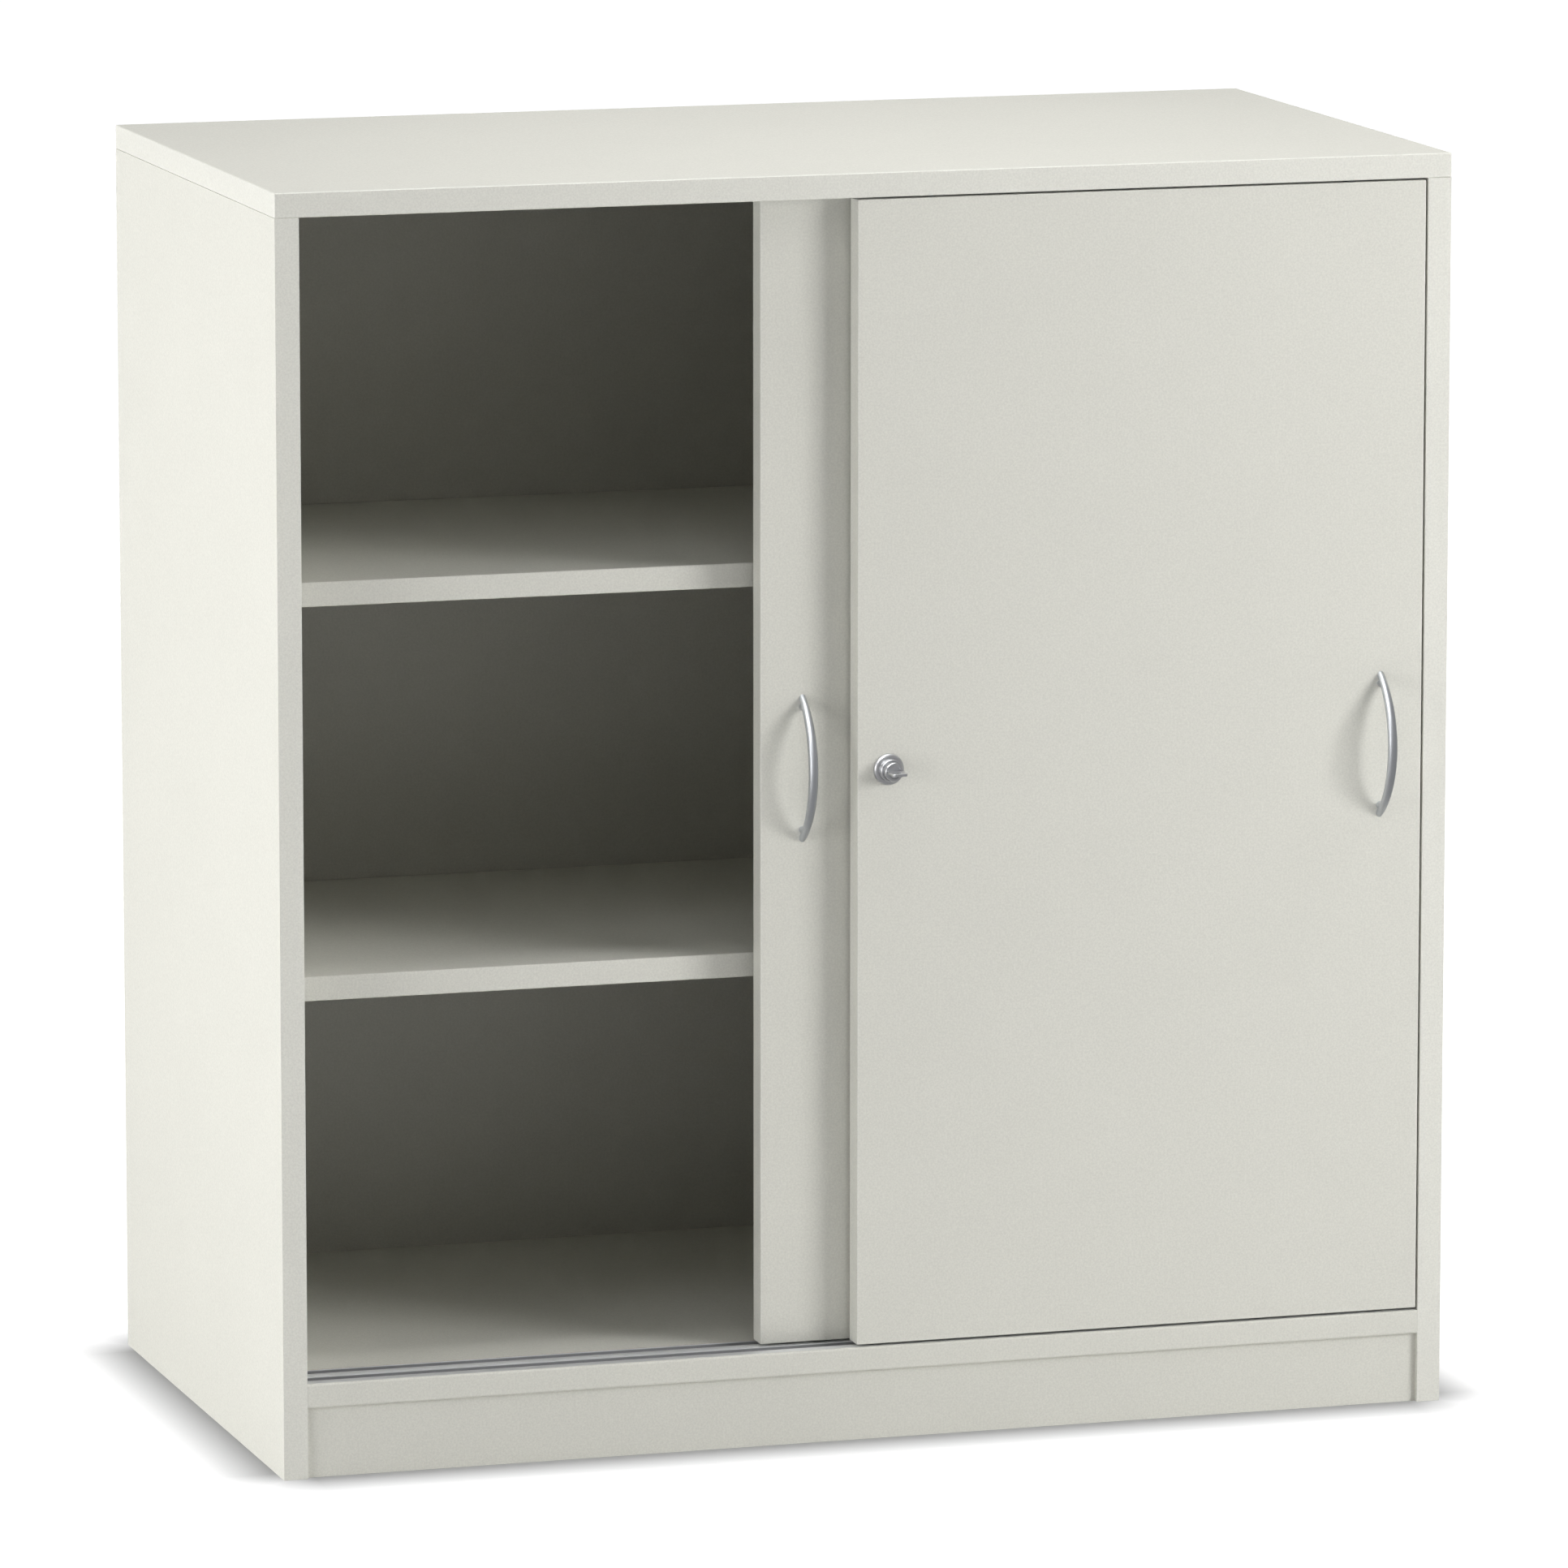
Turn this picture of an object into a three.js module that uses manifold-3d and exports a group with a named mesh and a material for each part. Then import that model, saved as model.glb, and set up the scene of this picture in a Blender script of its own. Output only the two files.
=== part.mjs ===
// Sliding door cabinet: an office sideboard whose two panel doors pass each other in twin-groove tracks.
// The front door is closed on the right, and the rear door stands open behind it.
// Millimetres, +Z up, the front faces -Y. The origin is the middle of the whole box at floor level.

import * as THREE from 'three';
import { mergeVertices } from 'three/addons/utils/BufferGeometryUtils.js';
import Module from 'manifold-3d';

const wasm = await Module();
wasm.setup();

// Carcass
const carcassWidth = 940;
const carcassHeight = 988;
const carcassDepth = 500;
const boardThickness = 19;
const edgeRadius = 2;
const plinthHeight = 55;
const plinthSetback = 4.5;
const backThickness = 8;
const backInset = 28;
const backTongue = 6;

// Fits: a piece lies this far from the hole or groove that it is seated in
const seatGap = 0.3;
const cutOverrun = 5;

// Doors
const doorThickness = 19;
const doorRecess = 0.5;
const doorGap = 4.5;
const doorSideGap = 1.5;
const doorBottomGap = 2;
const doorTopGap = 1.5;
const frontDoorLap = 11.5;
const handleStandoff = 36.8;

// Shelves and their supports
const shelfDoorGap = 16;
const shelfSideGap = 0.5;
const shelfBackGap = 1;
const supportInset = 37;
const supportPinRadius = 2.5;
const supportPinDepth = 8;
const supportReach = 8;
const supportWidth = 12;
const supportHeight = 6;

// Dowels
const dowelRadius = 4;
const dowelInBoardFace = 12;
const dowelInBoardEnd = 18;
const dowelPlaceShares = [0.2, 0.8];

// Tracks
const trackHeight = 9;
const trackFloor = 1.5;
const trackRim = 2;
const trackEndGap = 0.5;
const lowerGrooveWidth = 11;
const upperGrooveWidth = 8;
const stopLength = 20;

// Runners
const wheelRadius = 12;
const wheelWidth = 8;
const wheelProud = 2;
const wheelChamfer = 0.8;
const wheelHousingGap = 1;
const axleRadius = 2.4;
const axleHeadRadius = 4.2;
const axleHeadThickness = 1.4;
const runnerInset = 45;
const runnerWidth = 44;
const runnerHeight = 28;
const runnerDepth = 10.4;
const runnerWall = 4;

// Upper guide pins
const guideInset = 60;
const guideSleeveRadius = 5;
const guideSleeveDepth = 26;
const guidePinRadius = 3.4;
const guidePinHeight = 7.5;

// Bow handles
const handleInset = 34;
const handleRise = 5.25;
const handleHalfChord = 54.3;
const handleBow = 28.3;
const handleMiddleRadius = 3.7;
const handleEndRadius = 2.7;
const handleFootInset = 6.3;
const handleFootRadius = 3.3;
const handleFootReach = 9;
const handleBoreDepth = 7;
const screwRadius = 1.7;
const screwHeadRadius = 4;
const screwHeadHeight = 2.2;

// Lock: reaches are measured outwards from the front door's face
const lockInset = 25;
const rosetteRadius = 12.25;
const rosetteRim = 0.9;
const rosetteReach = 3.5;
const collarRadius = 8.9;
const collarReach = 10;
const cylinderRadius = 7.3;
const cylinderReach = 16;
const cylinderLength = 15;
const cylinderWeb = 1.5;
const cylinderTravel = 6;
const boltRadius = 4;
const boltBackset = 2;
const housingBackset = 0.5;
const housingFloor = 6.5;
const lockBevel = 0.5;
const coreRadius = 4.9;
const nutRadius = 12;
const nutThickness = 4;
const nutBackset = 0.8;
const springWireRadius = 0.45;
const springTurns = 4;

// Key
const keyThickness = 2.2;
const keyBowWidth = 12.5;
const keyBowLength = 14.5;
const keyBowCorner = 3;
const keyHoleRadius = 2;
const keyBladeWidth = 6.5;
const keyBladeLength = 11.5;
const keyStandoff = 0.6;

// Strike plate on the rear door
const strikeWidth = 24;
const strikeHeight = 34;
const strikeThickness = 3;
const strikeHoleRadius = 4.8;
const strikePegRadius = 2.5;
const strikePegDepth = 6;
const strikePegSpacing = 23;
const strikeEdgeMargin = 5;

// Facets of the round pieces
const smallSides = 12;
const roundSides = 24;
const edgeSteps = 3;
const rodSides = 10;
const rodSteps = 20;
const springSteps = 8;
const springSides = 5;

// Places that follow from the sizes, measured from the carcass's left, front and floor
const innerLeft = boardThickness;
const innerRight = carcassWidth - boardThickness;
const innerWidth = innerRight - innerLeft;
const floorTop = plinthHeight + boardThickness;
const ceiling = carcassHeight - boardThickness;
const backFront = carcassDepth - backInset - backThickness;
const doorHeight = ceiling - floorTop - doorBottomGap - doorTopGap;
const doorBottom = floorTop + doorBottomGap;
const frontDoorY = doorRecess;
const rearDoorY = frontDoorY + doorThickness + doorGap;
const frontDoorWidth = innerWidth / 2 + frontDoorLap - doorSideGap;
const frontDoorLeft = innerRight - doorSideGap - frontDoorWidth;
const rearDoorClosedLeft = innerLeft + doorSideGap;
const rearDoorLeft = frontDoorLeft - handleStandoff - handleInset;
const strikeX = frontDoorLeft + lockInset - rearDoorClosedLeft;
const rearDoorWidth = strikeX + strikeWidth / 2 + strikeEdgeMargin;
const fittingZ = doorHeight / 2 + handleRise;
const handleScrewSpacing = 2 * (handleHalfChord - handleFootInset);
const trackFront = edgeRadius + seatGap;
const wheelMiddleY = doorThickness + wheelProud - wheelWidth / 2;
const wheelAxisZ = wheelRadius + seatGap - trackHeight + trackFloor - doorBottomGap;
const shelfFront = rearDoorY + doorThickness + shelfDoorGap;
const shelfRoom = (ceiling - floorTop - 2 * boardThickness) / 3;
const lowerShelfZ = floorTop + shelfRoom;
const upperShelfZ = lowerShelfZ + boardThickness + shelfRoom;
const handleFront = frontDoorY - handleBow - handleMiddleRadius;
const keyFront = frontDoorY - cylinderReach - keyStandoff - keyBowLength;
const boxMiddleY = (carcassDepth + Math.min(handleFront, keyFront)) / 2;

// Finishes
const finishes = {
  board: new THREE.MeshStandardMaterial({ color: 0xdadad2, roughness: 0.55, metalness: 0 }),
  back: new THREE.MeshStandardMaterial({ color: 0xc9c9c1, roughness: 0.6, metalness: 0 }),
  aluminium: new THREE.MeshStandardMaterial({ color: 0xb4b6b8, roughness: 0.35, metalness: 1 }),
  satin: new THREE.MeshStandardMaterial({ color: 0xb9bbbf, roughness: 0.3, metalness: 1 }),
  nickel: new THREE.MeshStandardMaterial({ color: 0xc4c5c7, roughness: 0.2, metalness: 1 }),
  steel: new THREE.MeshStandardMaterial({ color: 0x9a9c9f, roughness: 0.4, metalness: 1 }),
  plastic: new THREE.MeshStandardMaterial({ color: 0x8d8f92, roughness: 0.6, metalness: 0 }),
  beech: new THREE.MeshStandardMaterial({ color: 0xc9a878, roughness: 0.7, metalness: 0 }),
};

// Turns a closed geometry into a solid for joining and cutting
function solid(geometry) {
  geometry.deleteAttribute('normal');
  geometry.deleteAttribute('uv');
  const merged = mergeVertices(geometry);
  const corners = merged.index.array;
  const kept = [];
  for (let i = 0; i < corners.length; i += 3) {
    const [a, b, c] = corners.slice(i, i + 3);
    if (a !== b && b !== c && c !== a) kept.push(a, b, c);
  }
  return new wasm.Manifold(new wasm.Mesh({
    numProp: 3,
    vertProperties: new Float32Array(merged.attributes.position.array),
    triVerts: new Uint32Array(kept),
  }));
}

// Turns a solid into a named mesh
function piece(name, body, material) {
  const cut = body.getMesh();
  const geometry = new THREE.BufferGeometry();
  geometry.setAttribute('position', new THREE.BufferAttribute(new Float32Array(cut.vertProperties), 3));
  geometry.setIndex(new THREE.BufferAttribute(new Uint32Array(cut.triVerts), 1));
  geometry.computeVertexNormals();
  const mesh = new THREE.Mesh(geometry, material);
  mesh.name = name;
  return mesh;
}

// The turn that carries a flat drawing and its depth onto the axes of the model
const drawingAxes = {
  x: new THREE.Matrix4().makeBasis(
    new THREE.Vector3(0, 1, 0), new THREE.Vector3(0, 0, 1), new THREE.Vector3(1, 0, 0)),
  y: new THREE.Matrix4().makeBasis(
    new THREE.Vector3(0, 0, 1), new THREE.Vector3(1, 0, 0), new THREE.Vector3(0, 1, 0)),
  z: new THREE.Matrix4(),
};

// A square-edged block between two opposite corners
function block(low, high) {
  const size = high.map((value, i) => value - low[i]);
  const geometry = new THREE.BoxGeometry(...size);
  geometry.translate(...low.map((value, i) => value + size[i] / 2));
  return solid(geometry);
}

// A board whose long edges are all rounded: width and height span the face, and depth is its thickness
function roundedBoard(axis, width, height) {
  const shape = new THREE.Shape();
  shape.moveTo(edgeRadius, edgeRadius);
  shape.lineTo(width - edgeRadius, edgeRadius);
  shape.lineTo(width - edgeRadius, height - edgeRadius);
  shape.lineTo(edgeRadius, height - edgeRadius);
  shape.closePath();
  return (thickness) => {
    const geometry = new THREE.ExtrudeGeometry(shape, {
      depth: thickness - 2 * edgeRadius,
      bevelEnabled: true,
      bevelThickness: edgeRadius,
      bevelSize: edgeRadius,
      bevelSegments: edgeSteps,
    });
    geometry.translate(0, 0, edgeRadius);
    geometry.applyMatrix4(drawingAxes[axis]);
    return solid(geometry);
  };
}

// A bar with the same section from end to end along X, drawn as depth and height
function barAlongX(shape, length) {
  const geometry = new THREE.ExtrudeGeometry(shape, {
    depth: length,
    bevelEnabled: false,
    curveSegments: edgeSteps,
  });
  geometry.applyMatrix4(drawingAxes.x);
  return solid(geometry);
}

// A shelf board: its front edge is rounded above and below, and its other edges are square
function shelfBoard(length, depth, thickness) {
  const shape = new THREE.Shape();
  shape.moveTo(depth, 0);
  shape.lineTo(depth, thickness);
  shape.lineTo(edgeRadius, thickness);
  shape.absarc(edgeRadius, thickness - edgeRadius, edgeRadius, Math.PI / 2, Math.PI, false);
  shape.lineTo(0, edgeRadius);
  shape.absarc(edgeRadius, edgeRadius, edgeRadius, Math.PI, Math.PI * 3 / 2, false);
  shape.closePath();
  return barAlongX(shape, length);
}

// A cylinder from a start point along one axis
function cylinder(radius, length, axis, start, sides = smallSides) {
  const geometry = new THREE.CylinderGeometry(radius, radius, length, sides);
  geometry.translate(0, length / 2, 0);
  if (axis === 'x') geometry.rotateZ(-Math.PI / 2);
  if (axis === 'z') geometry.rotateX(Math.PI / 2);
  geometry.translate(...start);
  return solid(geometry);
}

// A turned piece round the Y axis: each pair is a radius and a place along Y, from the front to the back
function turned(profile, sides = roundSides) {
  const points = profile.map(([radius, along]) => new THREE.Vector2(radius, along));
  return solid(new THREE.LatheGeometry(points, sides));
}

// Carcass boards

function dowelPlaces() {
  return dowelPlaceShares.map((share) => share * carcassDepth);
}

function topPanel() {
  const grooveSide = boardThickness - backTongue - seatGap;
  const upperTrackBack = upperTrackDepth() + trackFront;
  let board = roundedBoard('z', carcassWidth, carcassDepth)(boardThickness);
  board = board.subtract(block(
    [grooveSide, backFront - seatGap, -cutOverrun],
    [carcassWidth - grooveSide, backFront + backThickness + seatGap, backTongue + seatGap],
  ));
  board = board.subtract(block(
    [innerLeft, trackFront - seatGap, -cutOverrun],
    [innerRight, upperTrackBack + seatGap, trackHeight],
  ));
  for (const y of dowelPlaces()) {
    for (const x of [boardThickness / 2, carcassWidth - boardThickness / 2]) {
      const depth = dowelInBoardFace + seatGap + cutOverrun;
      board = board.subtract(cylinder(dowelRadius + seatGap, depth, 'z', [x, y, -cutOverrun]));
    }
  }
  return board;
}

// A side panel drawn with its inner face at the given X and the outer face at X = 0 or the other way round
function sidePanel(isLeft) {
  const innerFace = isLeft ? boardThickness : 0;
  const inward = isLeft ? 1 : -1;
  const reach = (depth) => [innerFace - inward * depth, innerFace + inward * cutOverrun].sort((a, b) => a - b);
  let board = roundedBoard('x', carcassDepth, ceiling)(boardThickness);
  const [grooveLow, grooveHigh] = reach(backTongue + seatGap);
  board = board.subtract(block(
    [grooveLow, backFront - seatGap, floorTop - backTongue - seatGap],
    [grooveHigh, backFront + backThickness + seatGap, ceiling + cutOverrun],
  ));
  for (const y of dowelPlaces()) {
    const [low, high] = reach(dowelInBoardFace + seatGap);
    const z = plinthHeight + boardThickness / 2;
    board = board.subtract(cylinder(dowelRadius + seatGap, high - low, 'x', [low, y, z]));
    const depth = dowelInBoardEnd + seatGap;
    const top = [boardThickness / 2, y, ceiling - depth];
    board = board.subtract(cylinder(dowelRadius + seatGap, depth + cutOverrun, 'z', top));
  }
  for (const [y, z] of supportPlaces()) {
    const [low, high] = reach(supportPinDepth + seatGap);
    const bore = cylinder(supportPinRadius + seatGap, high - low, 'x', [low, y, z - supportHeight / 2]);
    board = board.subtract(bore);
  }
  return board;
}

function bottomPanel() {
  let board = shelfBoard(innerWidth, carcassDepth, boardThickness);
  board = board.subtract(block(
    [-cutOverrun, trackFront - seatGap, boardThickness - trackHeight],
    [innerWidth + cutOverrun, trackFront + lowerTrackDepth() + seatGap, boardThickness + cutOverrun],
  ));
  board = board.subtract(block(
    [-cutOverrun, backFront - seatGap, boardThickness - backTongue - seatGap],
    [innerWidth + cutOverrun, backFront + backThickness + seatGap, boardThickness + cutOverrun],
  ));
  for (const y of dowelPlaces()) {
    const depth = dowelInBoardEnd + seatGap + cutOverrun;
    for (const x of [-cutOverrun, innerWidth + cutOverrun - depth]) {
      const start = [x, y, boardThickness / 2];
      board = board.subtract(cylinder(dowelRadius + seatGap, depth, 'x', start));
    }
  }
  return board;
}

function plinthBoard() {
  return block([0, 0, 0], [innerWidth, boardThickness, plinthHeight]);
}

function backPanel() {
  const width = innerWidth + 2 * backTongue;
  const height = ceiling - floorTop + 2 * backTongue;
  return block([0, 0, 0], [width, backThickness, height]);
}

function shelf() {
  const depth = backFront - shelfBackGap - shelfFront;
  return shelfBoard(innerWidth - 2 * shelfSideGap, depth, boardThickness);
}

// Depth and underside of the shelf for each support at one side, from the carcass's front and floor
function supportPlaces() {
  const places = [];
  for (const z of [lowerShelfZ, upperShelfZ]) {
    for (const y of [shelfFront + supportInset, backFront - supportInset]) places.push([y, z]);
  }
  return places;
}

// A shelf support that points to the right: its pin is in the left side panel and its pad is under the shelf
function shelfSupport() {
  const pin = cylinder(supportPinRadius, supportPinDepth + supportReach / 2, 'x', [
    -supportPinDepth, 0, -supportHeight / 2]);
  const pad = block([0, -supportWidth / 2, -supportHeight], [supportReach, supportWidth / 2, 0]);
  return pin.add(pad);
}

function dowel(axis) {
  return cylinder(dowelRadius, dowelInBoardFace + dowelInBoardEnd, axis, [0, 0, 0]);
}

// Tracks

// Middles of the two grooves behind the carcass's front
function lowerGrooveMiddles() {
  return [frontDoorY + wheelMiddleY, rearDoorY + wheelMiddleY];
}

function upperGrooveMiddles() {
  return [frontDoorY + doorThickness / 2, rearDoorY + doorThickness / 2];
}

function lowerTrackDepth() {
  return lowerGrooveMiddles()[1] + lowerGrooveWidth / 2 + trackRim - trackFront;
}

function upperTrackDepth() {
  return upperGrooveMiddles()[1] + upperGrooveWidth / 2 + trackRim - trackFront;
}

// A track profile with its grooves open upwards, drawn from its front edge and its floor
function trackProfile(depth, middles, grooveWidth) {
  const shape = new THREE.Shape();
  shape.moveTo(0, 0);
  shape.lineTo(depth, 0);
  shape.lineTo(depth, trackHeight);
  for (const middle of [...middles].reverse()) {
    const back = middle - trackFront + grooveWidth / 2;
    const front = back - grooveWidth;
    shape.lineTo(back, trackHeight);
    shape.lineTo(back, trackFloor);
    shape.lineTo(front, trackFloor);
    shape.lineTo(front, trackHeight);
  }
  shape.lineTo(0, trackHeight);
  shape.closePath();
  return barAlongX(shape, innerWidth - 2 * trackEndGap);
}

function lowerTrack() {
  return trackProfile(lowerTrackDepth(), lowerGrooveMiddles(), lowerGrooveWidth);
}

// The upper track is the same kind of profile turned over
function upperTrack() {
  return trackProfile(upperTrackDepth(), upperGrooveMiddles(), upperGrooveWidth).mirror([0, 0, 1]);
}

function doorStop() {
  const width = upperGrooveWidth - 2 * seatGap;
  return block([0, -width / 2, 0], [stopLength, width / 2, trackHeight - trackFloor - seatGap]);
}

// Doors: each is drawn from its own left edge, front face and lower edge

function doorPanel(width, handleX) {
  let board = roundedBoard('y', doorHeight, width)(doorThickness);
  for (const x of [runnerInset, width - runnerInset]) {
    const half = runnerWidth / 2 + seatGap;
    board = board.subtract(block(
      [x - half, doorThickness - runnerDepth - seatGap, -cutOverrun],
      [x + half, doorThickness + cutOverrun, runnerHeight + seatGap],
    ));
  }
  for (const x of [guideInset, width - guideInset]) {
    const depth = guideSleeveDepth + seatGap;
    const start = [x, doorThickness / 2, doorHeight - depth];
    board = board.subtract(cylinder(guideSleeveRadius + seatGap, depth + cutOverrun, 'z', start));
  }
  for (const side of [-1, 1]) {
    const start = [handleX, -cutOverrun, fittingZ + side * handleScrewSpacing / 2];
    const length = doorThickness + 2 * cutOverrun;
    board = board.subtract(cylinder(screwRadius + seatGap, length, 'y', start));
  }
  return board;
}

function frontDoorPanel() {
  const board = doorPanel(frontDoorWidth, frontDoorWidth - handleInset);
  const bore = cylinder(
    collarRadius + seatGap, doorThickness + 2 * cutOverrun, 'y', [lockInset, -cutOverrun, fittingZ], roundSides);
  const nutFloor = doorThickness - nutBackset - nutThickness;
  const nutSeat = cylinder(
    nutRadius + seatGap, nutThickness + nutBackset + cutOverrun, 'y', [lockInset, nutFloor, fittingZ], roundSides);
  return board.subtract(bore).subtract(nutSeat);
}

function rearDoorPanel() {
  let board = doorPanel(rearDoorWidth, handleInset);
  for (const side of [-1, 1]) {
    const start = [strikeX, -cutOverrun, fittingZ + side * strikePegSpacing / 2];
    const length = strikePegDepth + seatGap + cutOverrun;
    board = board.subtract(cylinder(strikePegRadius + seatGap, length, 'y', start));
  }
  return board;
}

// A closed rod: ringAt gives each ring's middle, its radius, and two directions across the way along the rod
function rodAlong(ringAt, sides, steps) {
  const positions = [];
  const indices = [];
  for (let i = 0; i <= steps; i += 1) {
    const { middle, out, across, radius } = ringAt(i / steps);
    for (let j = 0; j < sides; j += 1) {
      const angle = (j / sides) * Math.PI * 2;
      const offset = out.clone().multiplyScalar(Math.cos(angle)).addScaledVector(across, Math.sin(angle));
      positions.push(...middle.clone().addScaledVector(offset, radius));
    }
  }
  for (let i = 0; i < steps; i += 1) {
    for (let j = 0; j < sides; j += 1) {
      const a = i * sides + j;
      const b = i * sides + ((j + 1) % sides);
      indices.push(a, b, a + sides, b, b + sides, a + sides);
    }
  }
  const last = steps * sides;
  for (let j = 1; j < sides - 1; j += 1) {
    indices.push(0, j + 1, j, last, last + j, last + j + 1);
  }
  const geometry = new THREE.BufferGeometry();
  geometry.setAttribute('position', new THREE.Float32BufferAttribute(positions, 3));
  geometry.setIndex(indices);
  return solid(geometry);
}

// A bow handle round its own middle, its feet flat on the plane y = 0 and its bow towards -Y
function bowHandle() {
  const bowRadius = (handleHalfChord ** 2 + handleBow ** 2) / (2 * handleBow);
  const overrunAngle = handleEndRadius / bowRadius;
  const halfAngle = Math.asin(handleHalfChord / bowRadius) + overrunAngle;
  const ringAt = (t) => {
    const angle = (2 * t - 1) * halfAngle;
    const reach = bowRadius * Math.cos(angle) - (bowRadius - handleBow);
    const swell = Math.cos((2 * t - 1) * Math.PI / 2);
    return {
      middle: new THREE.Vector3(0, -reach, bowRadius * Math.sin(angle)),
      out: new THREE.Vector3(0, -Math.cos(angle), Math.sin(angle)),
      across: new THREE.Vector3(1, 0, 0),
      radius: handleEndRadius + (handleMiddleRadius - handleEndRadius) * swell,
    };
  };
  let bow = rodAlong(ringAt, rodSides, rodSteps);
  for (const side of [-1, 1]) {
    const z = side * handleScrewSpacing / 2;
    bow = bow.add(cylinder(handleFootRadius, handleFootReach, 'y', [0, -handleFootReach, z]));
    bow = bow.subtract(cylinder(
      screwRadius + seatGap, handleBoreDepth + cutOverrun, 'y', [0, -handleBoreDepth, z]));
  }
  const reach = handleHalfChord + 2 * handleEndRadius;
  return bow.subtract(block(
    [-reach, 0, -reach - cutOverrun],
    [reach, bowRadius, reach + cutOverrun],
  ));
}

// A handle screw: its head lies on the back of the door and its shank ends in the handle's foot
function handleScrew() {
  const shankLength = doorThickness + handleBoreDepth - seatGap;
  const shank = cylinder(screwRadius, shankLength + screwHeadHeight / 2, 'y', [
    0, doorThickness - shankLength, 0]);
  const head = cylinder(screwHeadRadius, screwHeadHeight, 'y', [0, doorThickness, 0]);
  return shank.add(head);
}

// Runners

function runnerHousing() {
  const cavity = wheelRadius + wheelHousingGap;
  const front = doorThickness - runnerDepth;
  let body = block([-runnerWidth / 2, front, 0], [runnerWidth / 2, doorThickness, runnerHeight]);
  body = body.subtract(cylinder(
    cavity, runnerDepth + cutOverrun, 'y', [0, front + runnerWall, wheelAxisZ], roundSides));
  body = body.subtract(block(
    [-cavity, front + runnerWall, -cutOverrun],
    [cavity, doorThickness + cutOverrun, wheelAxisZ],
  ));
  const boreStart = [0, front - cutOverrun, wheelAxisZ];
  return body.subtract(cylinder(axleRadius + seatGap, runnerWall + 2 * cutOverrun, 'y', boreStart));
}

// The axle stands in the housing's front wall, and its head holds the wheel
function runnerAxle() {
  const start = doorThickness - runnerDepth + seatGap;
  const end = wheelMiddleY + wheelWidth / 2;
  const pin = cylinder(axleRadius, end - start - axleHeadThickness / 2, 'y', [0, start, 0]);
  const head = cylinder(axleHeadRadius, axleHeadThickness, 'y', [0, end - axleHeadThickness, 0]);
  return pin.add(head);
}

function runnerWheel() {
  const front = -wheelWidth / 2;
  const back = wheelWidth / 2;
  const bore = axleRadius + seatGap;
  const recess = axleHeadRadius + seatGap;
  const recessFloor = back - axleHeadThickness - seatGap;
  return turned([
    [bore, front],
    [wheelRadius - wheelChamfer, front],
    [wheelRadius, front + wheelChamfer],
    [wheelRadius, back - wheelChamfer],
    [wheelRadius - wheelChamfer, back],
    [recess, back],
    [recess, recessFloor],
    [bore, recessFloor],
    [bore, front],
  ]);
}

// An upper guide: a sleeve in the door's top edge with a pin that runs in the upper track
function guidePin() {
  const sleeve = cylinder(guideSleeveRadius, guideSleeveDepth, 'z', [0, 0, -guideSleeveDepth]);
  const length = guideSleeveDepth / 2 + guidePinHeight;
  return sleeve.add(cylinder(guidePinRadius, length, 'z', [0, 0, guidePinHeight - length]));
}

// Lock: drawn round its own axis, from the front door's face

function lockRosette() {
  const inner = collarRadius + seatGap;
  const dome = (angle) => [
    inner + (rosetteRadius - inner) * Math.cos(angle),
    -rosetteRim - (rosetteReach - rosetteRim) * Math.sin(angle),
  ];
  const arc = [];
  for (let i = edgeSteps; i >= 0; i -= 1) arc.push(dome((i / edgeSteps) * Math.PI / 2));
  return turned([[inner, -rosetteReach], ...arc.slice(1), [rosetteRadius, 0], [inner, 0], [inner, -rosetteReach]]);
}

function lockHousing() {
  const end = doorThickness - housingBackset;
  const floor = end - housingFloor;
  return turned([
    [cylinderRadius + seatGap, -collarReach],
    [collarRadius - lockBevel, -collarReach],
    [collarRadius, lockBevel - collarReach],
    [collarRadius, end],
    [boltRadius + seatGap, end],
    [boltRadius + seatGap, floor],
    [cylinderRadius + seatGap, floor],
    [cylinderRadius + seatGap, -collarReach],
  ]);
}

function lockNut() {
  const end = doorThickness - nutBackset;
  return turned([
    [collarRadius + seatGap, end - nutThickness],
    [nutRadius, end - nutThickness],
    [nutRadius, end],
    [collarRadius + seatGap, end],
    [collarRadius + seatGap, end - nutThickness],
  ]);
}

// The sliding cylinder with its bolt behind it, at rest (pushed out by the spring)
function lockCylinder() {
  const shoulder = cylinderLength - cylinderReach;
  const boltEnd = doorThickness - boltBackset;
  return turned([
    [0, shoulder - cylinderWeb],
    [coreRadius + seatGap, shoulder - cylinderWeb],
    [coreRadius + seatGap, -cylinderReach],
    [cylinderRadius - lockBevel, -cylinderReach],
    [cylinderRadius, lockBevel - cylinderReach],
    [cylinderRadius, shoulder],
    [boltRadius, shoulder],
    [boltRadius, boltEnd - lockBevel],
    [boltRadius - lockBevel, boltEnd],
    [0, boltEnd],
  ]);
}

function lockCore() {
  const front = seatGap - cylinderReach;
  const length = cylinderLength - cylinderWeb - 2 * seatGap;
  const body = cylinder(coreRadius, length, 'y', [0, front, 0], roundSides);
  const slotWidth = keyBladeWidth / 2 + seatGap;
  const slotHeight = keyThickness / 2 + seatGap;
  const slotEnd = keyBladeLength + seatGap - cylinderReach - keyStandoff;
  return body.subtract(block(
    [-slotWidth, front - cutOverrun, -slotHeight],
    [slotWidth, slotEnd, slotHeight],
  ));
}

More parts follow.
